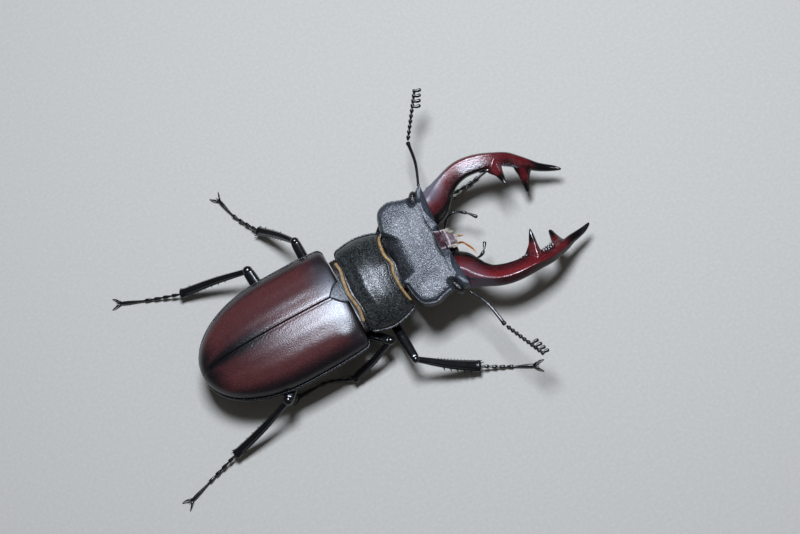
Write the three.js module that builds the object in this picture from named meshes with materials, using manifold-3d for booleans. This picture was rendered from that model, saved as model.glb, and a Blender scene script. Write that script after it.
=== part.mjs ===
// A male stag beetle, life size, standing on level ground with its jaws a little open.
// Millimetres: +X runs forward along the body, +Y to the beetle's left, +Z up. The feet stand on z = 0,
// and while the pieces are drawn x = 0 is the line where the wing cases begin, behind the waist.
import * as THREE from "three";
import { mergeVertices } from "three/addons/utils/BufferGeometryUtils.js";
import Module from "manifold-3d";

const { lerp, clamp, smoothstep, degToRad } = THREE.MathUtils;

// Driving dimensions
const GAP = 0.3;                // clear space kept between neighbouring pieces
const SEAM = GAP / 2;           // each wing case stands this far off the middle plane

const WING_LENGTH = 29.95;
const WING_HALF = 11.3;         // half width of the two wing cases together
const WING_WIDEST = 12.0;       // how far behind the base they are widest
const WING_RIDGE = 4.4;         // height of the seam over the side margins
const WING_MARGIN = 7.5;        // height of the side margins over the ground
const WING_TIP_DROP = 0.7;      // the margins sink this much towards the tip
const WING_THICK = 0.8;
const WING_RIM = 0.45;          // width of the raised bead along the margin

const SHIELD_REAR = 1.2;        // x of the rear edge of the neck shield
const SHIELD_FRONT = 9.5;       // x of its front edge
const SHIELD_CORNER = 1.25;     // its front corners reach this much further
const SHIELD_LOBE = 0.55;       // and so does a small lobe in the middle
const SHIELD_SKEW = 0.25;       // the left corner stands this much before the line, the right one behind it
const SHIELD_HALF = 9.62;
const SHIELD_MARGIN = 7.3;      // height of its side margins in front
const SHIELD_LIFT = 0.7;        // they rise this much to the rear
const SHIELD_RIDGE = 4.1;       // height of its crown over the margins

const BELLY_DEPTH = 4.7;        // depth of the underside below the margins
const SIDE_INSET = WING_RIM + WING_THICK + GAP;

const HEAD_TURN = -2.2;         // degrees, head turned a little to the beetle's right
const NECK = new THREE.Vector3(11.0, 0.4, 0);
const HEAD_REAR = 0.3;          // how far before the neck the head begins
const HEAD_LENGTH = 9.5;        // from the neck to the sockets of the jaws
const HEAD_HALF = 10.4;
const HEAD_CROWN = 1.45;        // height of its top over the side edges
const HEAD_EDGE = 9.8;          // height of the head's side edges
const HEAD_DEPTH = 5.7;         // from the side edges down to the throat

const JAW_TURN = -6.4;          // degrees, both jaws swung a little to the right
const JAW_SHIFT = 0.65;         // and moved this far to the left as they swing
const JAW_PIVOT = new THREE.Vector3(10.5, 8.0, 0);
const JAW_START = 10.25;        // x of each jaw's flat base, from the neck
const JAW_REACH = { left: 0.33, right: -0.3 };   // how much further forward the rest of each jaw stands

const FOOT_RADIUS = 0.36;

const wasm = await Module();
wasm.setup();

// Mesh helpers

// One closed surface from points and triangles: equal points are joined, and its faces point out.
function closedSurface(points, faces) {
  const geometry = new THREE.BufferGeometry();
  const coordinates = points.flatMap((p) => [p.x, p.y, p.z]);
  geometry.setAttribute("position", new THREE.Float32BufferAttribute(coordinates, 3));
  geometry.setIndex(faces.flat());
  const merged = mergeVertices(geometry, 1e-3);
  const index = merged.getIndex().array;
  const kept = [];
  for (let i = 0; i < index.length; i += 3) {
    const [a, b, c] = index.slice(i, i + 3);
    if (a !== b && b !== c && c !== a) kept.push([a, b, c]);
  }
  const place = merged.getAttribute("position");
  const corner = (i) => new THREE.Vector3().fromBufferAttribute(place, i);
  const volume = kept.reduce((sum, [a, b, c]) => sum + corner(a).dot(corner(b).cross(corner(c))), 0);
  merged.setIndex(kept.flatMap(([a, b, c]) => (volume > 0 ? [a, b, c] : [a, c, b])));
  return merged;
}

const middle = (ring) => ring.reduce((sum, p) => sum.add(p), new THREE.Vector3()).divideScalar(ring.length);

// A closed surface through rings of points, all of one count, fanned shut at both ends.
function loft(rings) {
  const count = rings[0].length;
  const lastRing = (rings.length - 1) * count;
  const points = [...rings.flat(), middle(rings[0]), middle(rings.at(-1))];
  const faces = [];
  for (let i = 0; i < count; i += 1) {
    const j = (i + 1) % count;
    for (let row = 0; row < lastRing; row += count) {
      faces.push([row + i, row + j, row + count + j]);
      faces.push([row + i, row + count + j, row + count + i]);
    }
    faces.push([points.length - 2, j, i]);
    faces.push([points.length - 1, lastRing + i, lastRing + j]);
  }
  return closedSurface(points, faces);
}

// A plate between two grids of points of one size, an upper and a lower, walled along all four borders.
function plate(upper, lower) {
  const rows = upper.length;
  const columns = upper[0].length;
  const offset = rows * columns;
  const faces = [];
  const quad = (a, b, c, d) => faces.push([a, b, c], [a, c, d]);
  for (let r = 0; r + 1 < rows; r += 1) {
    for (let c = 0; c + 1 < columns; c += 1) {
      const a = r * columns + c;
      const [b, d, e] = [a + 1, a + columns, a + columns + 1];
      faces.push([a, b, e], [a, e, d]);
      faces.push([offset + a, offset + e, offset + b], [offset + a, offset + d, offset + e]);
    }
    const left = r * columns;
    const right = left + columns - 1;
    quad(left, left + columns, offset + left + columns, offset + left);
    quad(right + columns, right, offset + right, offset + right + columns);
  }
  for (let c = 0; c + 1 < columns; c += 1) {
    const end = (rows - 1) * columns + c;
    quad(c + 1, c, offset + c, offset + c + 1);
    quad(end, end + 1, offset + end + 1, offset + end);
  }
  return closedSurface([...upper.flat(), ...lower.flat()], faces);
}

function toSolid(geometry) {
  const bare = geometry.clone();
  bare.deleteAttribute("normal");
  bare.deleteAttribute("uv");
  const merged = mergeVertices(bare, 1e-4);
  const vertProperties = new Float32Array(merged.getAttribute("position").array);
  const triVerts = new Uint32Array(merged.getIndex().array);
  return new wasm.Manifold(new wasm.Mesh({ numProp: 3, vertProperties, triVerts }));
}

// Only the largest closed surface of a solid is kept.
function fromSolid(solid) {
  const largest = solid.decompose().sort((a, b) => b.volume() - a.volume())[0];
  const mesh = largest.getMesh();
  const geometry = new THREE.BufferGeometry();
  geometry.setAttribute("position", new THREE.Float32BufferAttribute(mesh.vertProperties, 3));
  geometry.setIndex(Array.from(mesh.triVerts));
  return geometry;
}

const joined = (pieces) => fromSolid(pieces.map(toSolid).reduce((sum, piece) => sum.add(piece)));
const cutAway = (geometry, cutters) => fromSolid(
  cutters.map(toSolid).reduce((rest, cutter) => rest.subtract(cutter), toSolid(geometry)),
);

// The same shape on the other side of the middle plane.
function mirrored(geometry) {
  const copy = geometry.clone();
  copy.scale(1, -1, 1);
  const index = copy.getIndex().array;
  for (let i = 0; i < index.length; i += 3) [index[i], index[i + 1]] = [index[i + 1], index[i]];
  return copy;
}

const onSide = (side, geometry) => (side > 0 ? geometry : mirrored(geometry));

// A curve swept by an oval. section(t) gives the oval's half width and half height along the way,
// and grow makes the whole of it fatter, for cutting a neighbour clear of it.
function limb(route, section, { sides = 8, steps = 8, grow = 0, level = 0 } = {}) {
  const curve = new THREE.CatmullRomCurve3(route.map((p) => new THREE.Vector3(...p)), false, "centripetal");
  const rings = [];
  for (let step = 0; step <= steps; step += 1) {
    const t = step / steps;
    const centre = curve.getPointAt(t);
    const ahead = curve.getTangentAt(t);
    ahead.lerp(new THREE.Vector3(1, 0, 0), level * (1 - smoothstep(t, 0, 0.25))).normalize();
    const across = new THREE.Vector3(0, 0, 1).cross(ahead).normalize();
    const above = ahead.clone().cross(across);
    const [half, tall] = section(t);
    const ring = [];
    for (let i = 0; i < sides; i += 1) {
      const angle = (2 * Math.PI * (i + 0.5)) / sides;
      ring.push(centre.clone()
        .addScaledVector(across, (half + grow) * Math.cos(angle))
        .addScaledVector(above, (tall + grow) * Math.sin(angle)));
    }
    rings.push(ring);
  }
  return loft(rings);
}

// A value along the way, read off a few [place, value] knots with a smooth curve between them.
function along(knots) {
  return (t) => {
    const next = knots.findIndex(([place]) => place >= t);
    if (next < 1) return next === 0 ? knots[0][1] : knots.at(-1)[1];
    const [[a, from], [b, to]] = [knots[next - 1], knots[next]];
    return lerp(from, to, smoothstep(t, a, b));
  };
}

// A hump of height 1 at the place, fallen to 0.37 a width away from it.
const bell = (x, place, width) => Math.exp(-(((x - place) / width) ** 2));

const oval = (centre, radii, around = 14, down = 8) => {
  const ball = new THREE.SphereGeometry(1, around, down);
  ball.scale(...radii);
  ball.translate(...centre);
  return ball;
};

// Wing cases

// 0 from the base to the widest line, then up to 1 at the tip.
const wingTaper = (x) => Math.max(0, (-x - WING_WIDEST) / (WING_LENGTH - WING_WIDEST));

// Half width of the pair at x, drawn in by the given inset.
function wingHalf(x, inset = 0) {
  const u = Math.min(1, wingTaper(x) * (1 + inset / (WING_LENGTH - WING_WIDEST)));
  const narrowing = 0.5 * clamp((x + WING_WIDEST) / WING_WIDEST, 0, 1) ** 4;
  const shoulder = narrowing + 0.9 * clamp((x + 1.2) / 1.2, 0, 1) ** 3;
  return Math.max(0, (WING_HALF - shoulder) * (1 - u ** 2.1) ** 0.46 - inset * (u < 1));
}

const wingMargin = (x) => WING_MARGIN - WING_TIP_DROP * wingTaper(x) ** 2;

// Height of the dome over the margins at x: it sinks in a long curve to the base, and steeply at the tip.
function wingRise(x) {
  const base = 0.75 * clamp((x + 14) / 14, 0, 1) ** 2 + 0.25 * clamp((x + 2) / 2, 0, 1) ** 2;
  return (WING_RIDGE - base) * (1 - Math.min(1, wingTaper(x)) ** 3.4) ** 0.45;
}

// Height of the dome at x, at the part t of the way from the seam to the edge of the dome.
const domeHeight = (x, t, lower = 0) => wingMargin(x)
  + Math.max(0, wingRise(x) - lower) * Math.sqrt(Math.max(0, 1 - t ** 2.4));

// Stations from the base to the tip, closer together where the outline turns in at either end.
function wingStations(count, inset) {
  const reach = WING_LENGTH - inset;
  const place = (i) => 0.5 - 0.5 * Math.cos(Math.PI * (i / count));
  return Array.from({ length: count + 1 }, (_, i) => -reach * place(i));
}

function wingCase() {
  const across = 9;
  const count = 16;
  const upper = [];
  const lower = [];
  const outer = wingStations(count, 0);
  const inner = wingStations(count, WING_THICK);
  outer.forEach((x, row) => {
    const edge = Math.max(SEAM, wingHalf(x) - WING_RIM * Math.min(1, wingHalf(x) / 3));
    const rim = Math.max(0, wingHalf(x) - edge);
    const top = [];
    for (let i = 0; i <= across; i += 1) {
      const t = Math.sin((Math.PI / 2) * (i / across));
      top.push(new THREE.Vector3(x, lerp(SEAM, edge, t), domeHeight(x, t)));
    }
    const z = wingMargin(x);
    top.push(new THREE.Vector3(x, edge + rim * 0.45, z + rim * 0.75));
    top.push(new THREE.Vector3(x, edge + rim, z + rim * 0.35));
    upper.push(top);

    const xi = inner[row];
    const room = Math.max(0, (WING_HALF - WING_RIM - WING_THICK) / (WING_HALF - WING_RIM));
    const close = Math.max(SEAM, edge * room);
    const under = [];
    for (let i = 0; i <= across; i += 1) {
      const t = Math.sin((Math.PI / 2) * (i / across));
      const ceiling = wingMargin(x) + (domeHeight(x, t) - wingMargin(x)) * (1 - WING_THICK / WING_RIDGE);
      under.push(new THREE.Vector3(xi, lerp(SEAM, close, t), ceiling - 0.02));
    }
    under.push(new THREE.Vector3(xi, lerp(close, edge, 0.4), z - 0.22 * rim / WING_RIM));
    under.push(new THREE.Vector3(x, edge + rim * 0.9, z - 0.12 * rim / WING_RIM));
    lower.push(under);
  });
  return plate(upper, lower);
}

// Scutellum: the small rounded triangle between the bases of the wing cases.
const SCUTELLUM_LENGTH = 2.45;
const SCUTELLUM_HALF = 2.25;
const SCUTELLUM_UNDER = 10.3;   // height of its underside

function scutellumOutline(grow) {
  const shape = new THREE.Shape();
  shape.moveTo(0.25 + grow * 4, -SCUTELLUM_HALF - grow);
  shape.bezierCurveTo(-0.6, -SCUTELLUM_HALF - grow, -1.7 - grow, -0.95 - grow, -SCUTELLUM_LENGTH - grow, 0);
  const half = SCUTELLUM_HALF + grow;
  shape.bezierCurveTo(-1.7 - grow, 0.95 + grow, -0.6, half, 0.25 + grow * 4, half);
  return shape;
}

function scutellumPrism(grow, from, height) {
  const prism = new THREE.ExtrudeGeometry(scutellumOutline(grow), {
    depth: height, bevelEnabled: false, curveSegments: 5,
  });
  prism.translate(0, 0, from);
  return prism;
}

function scutellum() {
  const dome = oval([-1.6, 0, 5.7], [6.5, 7.0, 5.6], 24, 16);
  const block = scutellumPrism(0, SCUTELLUM_UNDER, 3);
  return fromSolid(toSolid(block).intersect(toSolid(dome)));
}

// Underside of the body behind the waist, between two places along it. Its back lies under the wing
// cases and its belly hangs below their margins, ringed by the given number of segments.
function trunk(front, rear, segments, stations) {
  const rings = [];
  const round = 11;
  const tail = WING_LENGTH - SIDE_INSET;
  for (let s = 0; s <= stations; s += 1) {
    const x = lerp(front, rear, s / stations);
    const shrunk = (x * WING_LENGTH) / tail;
    const outline = Math.min(wingHalf(x), wingHalf(shrunk)) - WING_RIM;
    const half = Math.max(0.05, outline * (1 - (WING_THICK + GAP + 0.1) / (WING_HALF - WING_RIM)));
    const rise = Math.min(wingRise(x), wingRise(shrunk)) * (1 - WING_THICK / WING_RIDGE) - GAP - 0.1;
    const taper = clamp((-x - 16) / (tail - 16), 0, 1);
    const ripple = Math.abs(Math.cos((Math.PI * segments * (x - front)) / (rear - front)));
    const groove = segments ? 0.16 * ripple ** 8 : 0;
    const belly = BELLY_DEPTH * Math.sqrt(Math.max(0.002, 1 - taper ** 2.2)) - groove;
    const ring = [];
    for (let i = 0; i < 2 * round; i += 1) {
      const angle = (Math.PI * i) / round;
      const t = Math.cos(angle);
      const back = Math.max(0.05, rise) * Math.sqrt(1 - Math.abs(t) ** 2.4);
      const under = -belly * Math.abs(Math.sin(angle)) ** 0.85;
      ring.push(new THREE.Vector3(x, half * t, wingMargin(x) + (i <= round ? back : under)));
    }
    rings.push(ring);
  }
  return loft(rings);
}

// The waist closes the space between the neck shield and the wing cases.
function waist() {
  const rings = [GAP, SHIELD_REAR - GAP].map((x) => Array.from({ length: 24 }, (_, i) => {
    const angle = (2 * Math.PI * i) / 24;
    const tall = Math.sin(angle) > 0 ? 2.2 : 3.6;
    return new THREE.Vector3(x, 7.9 * Math.cos(angle), 7.2 + tall * Math.sin(angle));
  }));
  return loft(rings);
}

// Neck shield, with a beaded side margin

const shieldHalf = along([
  [0, 7.4], [0.03, 8.3], [0.07, 8.8], [0.17, 9.15], [0.46, SHIELD_HALF],
  [0.62, 9.45], [0.87, 8.75], [1, 8.1],
]);
const shieldRise = along([
  [0, 2.4], [0.2, 3.3], [0.4, SHIELD_RIDGE], [0.54, SHIELD_RIDGE], [0.8, 3.65], [1, 3.1],
]);
const shieldMargin = (s) => SHIELD_MARGIN + SHIELD_LIFT * (1 - smoothstep(s, 0, 0.45));
const shieldFront = (t) => (
  SHIELD_FRONT + SHIELD_CORNER * Math.abs(t) ** 4 + SHIELD_LOBE * bell(t, 0.05, 0.16)
);
const shieldX = (s, t) => lerp(SHIELD_REAR, shieldFront(t) + SHIELD_SKEW * t, s);

function shield() {
  const across = 11;
  const count = 9;
  const upper = [];
  const lower = [];
  for (let row = 0; row <= count; row += 1) {
    const s = 0.5 - 0.5 * Math.cos((Math.PI * row) / count);
    const half = shieldHalf(s);
    const top = [];
    const under = [];
    for (let i = -across; i <= across; i += 1) {
      const t = Math.sin((Math.PI / 2) * (i / across));
      const edge = 0.955;
      const inside = Math.min(1, Math.abs(t) / edge);
      const bead = 0.22 * smoothstep(Math.abs(t), edge, 0.985);
      const z = shieldMargin(s) + shieldRise(s) * Math.max(0, 1 - inside ** 2) ** 0.6 + bead;
      top.push(new THREE.Vector3(shieldX(s, t), half * t, z));
      under.push(new THREE.Vector3(shieldX(s, t), half * t, SHIELD_MARGIN - 0.3));
    }
    upper.push(top);
    lower.push(under);
  }
  return plate(upper, lower);
}

// Breast: the front of the underside, below the shield, that carries the fore legs.
function breast() {
  const rings = [];
  const ceiling = SHIELD_MARGIN - 0.3 - GAP;
  for (let s = 0; s <= 6; s += 1) {
    const part = s / 6;
    const x = lerp(SHIELD_REAR + 0.1, SHIELD_FRONT + SHIELD_LOBE, part);
    const half = shieldHalf(part) - 0.9;
    const deep = 3.4 - 0.5 * part;
    rings.push(Array.from({ length: 22 }, (_, i) => {
      const angle = Math.PI * (i / 21);
      return new THREE.Vector3(x, half * Math.cos(angle), ceiling - deep * Math.sin(angle) ** 0.8);
    }));
  }
  return loft(rings);
}

function neck() {
  const ends = [SHIELD_FRONT + SHIELD_LOBE + GAP, NECK.x - 0.2];
  const rings = ends.map((x) => Array.from({ length: 20 }, (_, i) => {
    const angle = (2 * Math.PI * i) / 20;
    return new THREE.Vector3(x, NECK.y * 0.5 + 5.4 * Math.cos(angle), 7.0 + 2.7 * Math.sin(angle));
  }));
  return loft(rings);
}

// Head, drawn from the neck at x = 0

const BAY_FRONT = 3.0;          // the top slopes down from here to the neck
const BAY_HALF = 3.75;          // over this half width
const BAY_DROP = 1.5;
const BROW = 8.2;               // the brow steps down here to the strip in front of it
const BROW_STEP = 0.5;
const MOUTH_HALF = 3.0;         // between the jaws the strip slopes on down to the lip
const MOUTH_SLOPE = 0.87;
const EYE_RIDGE = { from: [8.5, 7.9], along: [1.5, 2.7], height: 0.7, width: 0.8 };

// Half width: rounded rear lobes, a swelling behind the cheeks, a flare in front of the eyes.
function headHalf(x) {
  const lobes = Math.sqrt(1 - clamp((2.8 - x) / 3.25, 0, 1) ** 4.5);
  const swell = HEAD_HALF + 0.75 * bell(x, 3.4, 1.8) - 0.2 * bell(x, 7.0, 1.2);
  return lobes * swell + 0.8 * smoothstep(x, 7.6, 9.4);
}

// How high the ridge in front of the eye stands over the top at a point.
function eyeRidge(x, w) {
  const { from, along: way, height, width } = EYE_RIDGE;
  const part = clamp(((x - from[0]) * way[0] + (w - from[1]) * way[1]) / (way[0] ** 2 + way[1] ** 2), 0, 1);
  return height * bell(Math.hypot(x - from[0] - part * way[0], w - from[1] - part * way[1]), 0, width);
}

// Height of the top: a crown that sinks forwards, less the bay, the brow's step and the slope to the mouth.
function headTop(x, y) {
  const w = Math.abs(y);
  const slope = (headHalf(x + 0.01) - headHalf(x - 0.01)) / 0.02;
  const inset = (headHalf(x) - w) / Math.hypot(1, slope);
  const border = Math.sqrt(1 - clamp(1 - inset / 1.8, 0, 1) ** 2.2);
  const lobes = 0.3 * bell(w, 6.8, 2.2) * bell(x, 3.6, 2.4);
  const hollow = 0.25 * bell(x, 5.6, 1.8) * bell(y, 0.5, 4.0) + 0.08 * clamp(x - 3, -1, 6);
  const inBay = 1 - smoothstep(w, BAY_HALF - 0.5, BAY_HALF + 0.5);
  const bay = BAY_DROP * smoothstep(BAY_FRONT - x, 0, 3) * inBay;
  const step = BROW_STEP * smoothstep(x, BROW, BROW + 0.3) * (1 - smoothstep(w, 5, 8));
  const overMouth = 1 - smoothstep(w, MOUTH_HALF - 0.6, MOUTH_HALF + 0.6);
  const mouthward = MOUTH_SLOPE * clamp(x - BROW - 0.15, 0, 2) * overMouth;
  return HEAD_EDGE + (HEAD_CROWN + lobes - hollow - bay - step - mouthward + eyeRidge(x, w)) * border;
}

function head(sockets) {
  const stations = 16;
  const across = 13;
  const rings = [];
  for (let s = 0; s <= stations; s += 1) {
    const x = lerp(HEAD_REAR, HEAD_LENGTH, s / stations);
    const half = headHalf(x);
    const ring = [];
    const angleOf = (i) => Math.PI * (i / across);
    for (let i = 0; i <= across; i += 1) {
      const y = half * Math.cos(angleOf(i));
      ring.push(new THREE.Vector3(x, y, headTop(x, y)));
    }
    const shallower = lerp(0.86, 1, smoothstep(x, 0, 3)) * lerp(1, 0.9, smoothstep(x, 7, HEAD_LENGTH));
    const depth = HEAD_DEPTH * shallower;
    for (let i = across - 1; i > 0; i -= 1) {
      const angle = angleOf(i);
      const z = HEAD_EDGE - depth * Math.sin(angle) ** 0.7;
      ring.push(new THREE.Vector3(x, half * 0.98 * Math.cos(angle), z));
    }
    rings.push(ring);
  }
  return cutAway(loft(rings), sockets);
}

const EYE = [7.95, 9.35, 9.15];
const EYE_RADII = [0.95, 1.5, 1.3];
const EYE_LEAN = -20;           // degrees, its long axis leans forwards on the outer side

function eye(grow = 0) {
  const ball = oval([0, 0, 0], EYE_RADII.map((r) => r + grow));
  ball.rotateZ(degToRad(EYE_LEAN));
  ball.translate(...EYE);
  return ball;
}

// Lip: the short plate over the mouth, between the jaws, its half width a power curve.
const LIP = { half: 1.8, tip: 12.0, top: 8.8, under: 7.7 };

function lip() {
  const upper = [];
  const lower = [];
  for (let row = 0; row <= 4; row += 1) {
    const s = row / 4;
    const half = LIP.half * (1 - 0.5 * s ** 2.2);
    const top = [];
    const under = [];
    for (let i = -4; i <= 4; i += 1) {
      const t = i / 4;
      const x = lerp(HEAD_LENGTH + GAP, LIP.tip - 0.7 * t * t, s);
      const y = half * t - 0.35 * s;
      top.push(new THREE.Vector3(x, y, LIP.top - 0.9 * s - 0.35 * t * t));
      under.push(new THREE.Vector3(x, y, LIP.under - 0.25 * s - 0.2 * t * t));
    }
    upper.push(top);
    lower.push(under);
  }
  return plate(upper, lower);
}

// Chin: the broad plate under the mouth, with the golden tongue brush standing out of it.
function chin() {
  const plateLine = [[HEAD_LENGTH + GAP + 0.1, 0, 5.1], [11.2, 0, 4.9]];
  const plateBody = limb(plateLine, () => [2.4, 0.62], { sides: 10, steps: 3 });
  const brush = (side) => limb(
    [[10.7, 0.7 * side, 5.3], [12.0, 1.0 * side - 0.3, 5.7], [13.5, 1.5 * side - 1.2, 5.8]],
    (t) => [0.5 - 0.42 * t, 0.4 - 0.32 * t],
    { sides: 6, steps: 4 },
  );
  return joined([plateBody, brush(1), brush(-1)]);
}

// Jaw

const JAW_ROUTE = [
  [11.4, 7.35, 7.1], [12.6, 8.5, 7.5], [13.6, 9.35, 7.9], [15.4, 10.45, 8.3], [17.5, 11.15, 8.6],
  [19.5, 11.3, 8.6], [21.5, 11.15, 8.5], [23.8, 10.85, 8.1], [26.0, 10.5, 7.4], [27.6, 9.8, 6.5],
  [29.2, 8.95, 5.5], [30.8, 7.95, 4.75],
  [32.3, 7.3, 4.25], [33.6, 6.75, 4.05], [34.95, 5.98, 4.1],
];
const GREAT_TOOTH = [
  [23.1, 10.8, 7.6], [23.5, 9.2, 8.1], [23.9, 7.9, 8.6], [24.2, 6.5, 9.0], [24.45, 4.95, 9.4],
];
const FORK_TOOTH = [
  [28.6, 9.0, 5.0], [28.3, 7.7, 4.6], [28.05, 6.35, 4.2], [27.85, 5.1, 3.8], [27.7, 4.25, 3.5],
];
const jawHalf = along([
  [0, 3.7], [0.05, 3.55], [0.1, 2.8], [0.15, 2.35], [0.3, 2.05], [0.45, 1.86], [0.62, 1.4], [0.755, 1.06],
  [0.89, 0.72], [0.95, 0.5], [1, 0.12],
]);
const jawTall = along([
  [0, 2.0], [0.1, 1.8], [0.2, 1.5], [0.45, 1.3], [0.6, 1.1], [0.7, 0.95],
  [0.83, 0.75], [0.9, 0.62], [1, 0.12],
]);

const spike = (route, half, tall, sides = 8, steps = 5) => limb(
  route,
  (t) => [half * (1 - t) ** 0.9 + 0.8 * (1 - t) ** 6 + 0.08, tall * (1 - t) ** 0.9 + 0.08],
  { sides, steps },
);

function jaw(side) {
  const reach = JAW_REACH[side];
  const onward = (points) => points.map(([x, y, z]) => [x + reach, y, z]);
  const route = [[JAW_START, 6.6, 7.0], ...onward(JAW_ROUTE)];
  const shaft = limb(route, (t) => [jawHalf(t), jawTall(t)], { sides: 12, steps: 24, level: 1 });
  const greatTooth = spike(onward(GREAT_TOOTH), 1.55, 1.2);
  const forkTooth = spike(onward(FORK_TOOTH), 1.3, 0.95);
  const denticles = [0, 1, 2, 3].map((i) => {
    const x = 25.2 + 0.75 * i;
    const y = 9.75 - 0.3 * i;
    const line = [[x, y + 0.7, 7.2 - 0.2 * i], [x, y - 0.4 - 0.1 * (i % 2), 7.4 - 0.2 * i]];
    return spike(onward(line), 0.36, 0.36, 5, 2);
  });
  return joined([shaft, greatTooth, forkTooth, ...denticles]);
}

// Palps, bowed feelers beside the mouth made of beads
const beads = (count, thin, thick) => (t) => {
  const swell = Math.sin(Math.PI * ((t * count) % 1)) ** 0.6;
  const radius = lerp(thin, thick, t > 0.999 ? 0 : swell);
  return [radius, radius];
};

const PALPS = {
  left: [[10.35, 3.0, 5.2], [12.2, 4.9, 5.7], [13.9, 5.1, 5.8], [15.6, 4.0, 5.7], [17.1, 2.3, 5.5]],
  right: [[10.35, -2.7, 5.0], [12.2, -3.9, 5.3], [13.8, -4.8, 5.5], [15.0, -4.4, 5.6], [16.2, -2.6, 5.5]],
};

const palp = (route) => limb(route, beads(4, 0.25, 0.42), { sides: 6, steps: 12 });

// Feelers: a long first joint, then a string of beads that ends in four leaves

const FEELERS = {
  left: {
    root: [10.0, 11.6, 9.2], bend: [11.45, 16.4, 8.6], elbow: [11.95, 21.3, 7.5], tip: [17.6, 29.6, 9.0],
  },
  right: {
    root: [9.6, -11.4, 9.2], bend: [11.4, -15.0, 9.3], elbow: [12.5, -20.1, 9.0], tip: [16.2, -28.7, 10.4],
  },
};
const LEAVES = 4;

const feelerStem = ({ root, bend, elbow }) => limb(
  [root, bend, elbow],
  (t) => [lerp(0.27, 0.4, t), lerp(0.27, 0.4, t)],
  { sides: 7, steps: 8 },
);

function feelerClub({ elbow, tip }) {
  const from = new THREE.Vector3(...elbow);
  const to = new THREE.Vector3(...tip);
  const ahead = to.clone().sub(from).normalize();
  const start = from.clone().addScaledVector(ahead, 0.75);
  const string = limb([start.toArray(), to.toArray()], beads(10, 0.25, 0.42), { sides: 6, steps: 20 });
  const forward = new THREE.Vector3(1, 0, 0).addScaledVector(ahead, -ahead.x).normalize();
  const leaves = Array.from({ length: LEAVES }, (_, i) => {
    const root = start.clone().lerp(to, lerp(0.66, 0.97, i / (LEAVES - 1)));
    const end = root.clone().addScaledVector(forward, 1.55).addScaledVector(ahead, 0.4);
    const leafSize = (t) => [0.27 + 0.1 * t - 0.22 * t ** 6, 0.45 - 0.3 * t ** 4];
    return limb([root.toArray(), end.toArray()], leafSize, {
      sides: 5, steps: 3,
    });
  });
  return joined([string, ...leaves]);
}

// Legs. hip is where the thigh leaves the body, and steps are the points of the foot after the ankle.
const LEGS = {
  fore_left: {
    hip: [5.2, 3.4, 3.3], knee: [14.6, 12.4, 4.9], ankle: [26.3, 10.2, 1.5],
    steps: [[31, 10.9], [36, 12.2]],
  },
  fore_right: {
    hip: [5.2, -3.4, 3.3], knee: [5.7, -16.5, 6], ankle: [15.3, -22.1, 1.5],
    steps: [[19.5, -24.3], [24, -26.6]],
  },
  mid_left: {
    hip: [-3.6, 3.4, 3], knee: [-3.5, 14.9, 7], ankle: [-8.8, 22.9, 1.4],
    steps: [[-11.6, 28.4], [-12.8, 32.9]],
  },
  mid_right: {
    hip: [-3.6, -3.4, 3], knee: [3.3, -10.9, 5.6], ankle: [-6, -12.5, 1.4],
    steps: [[-10.4, -10.2], [-16.2, -9.9]],
  },
  hind_left: {
    hip: [-12.8, 3.2, 3], knee: [-13.8, 14.7, 6.1], ankle: [-27.2, 19.2, 1.5],
    steps: [[-33, 21.7], [-38.3, 24.1]],
  },
  hind_right: {
    hip: [-10.8, -3.2, 3], knee: [-18.1, -11.8, 6.6], ankle: [-31.6, -14.2, 1.5],
    steps: [[-37, -15.6], [-42.5, -17.4]],
  },
};
const COXA_RADIUS = 1.35;
const FOOT_JOINTS = 5;

// What differs from the fore legs to the hind legs: the girth of the thigh, how much the shin widens
// to the ankle, and the spines along its outer edge. The fore legs dig, so theirs are the longest.
const LEG_KINDS = {
  fore: { girth: 0.85, flare: 0.5, spines: 5, spineLength: 1.2 },
  mid: { girth: 0.95, flare: 0.25, spines: 3, spineLength: 0.75 },
  hind: { girth: 1.12, flare: 0.3, spines: 2, spineLength: 0.6 },
};
const kindOf = (name) => LEG_KINDS[name.split("_")[0]];

const between = (a, b, t) => a.map((value, axis) => lerp(value, b[axis], t));

function thigh(name, grow = 0) {
  const { hip, knee } = LEGS[name];
  const { girth } = kindOf(name);
  const size = (t) => girth * (0.8 + 0.3 * Math.sin(Math.PI * (0.1 + 0.75 * t)));
  const line = [hip, between(hip, knee, 0.5), knee];
  const shaft = limb(line, (t) => [size(t), size(t) * 0.85], { sides: 8, steps: 5, grow });
  const coxa = oval(hip, [COXA_RADIUS + grow, COXA_RADIUS * 1.2 + grow, COXA_RADIUS * 0.85 + grow], 10, 6);
  const kneecap = oval(knee, [girth + grow, girth + grow, girth * 0.9 + grow], 8, 6);
  return joined([shaft, coxa, kneecap]);
}

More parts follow.
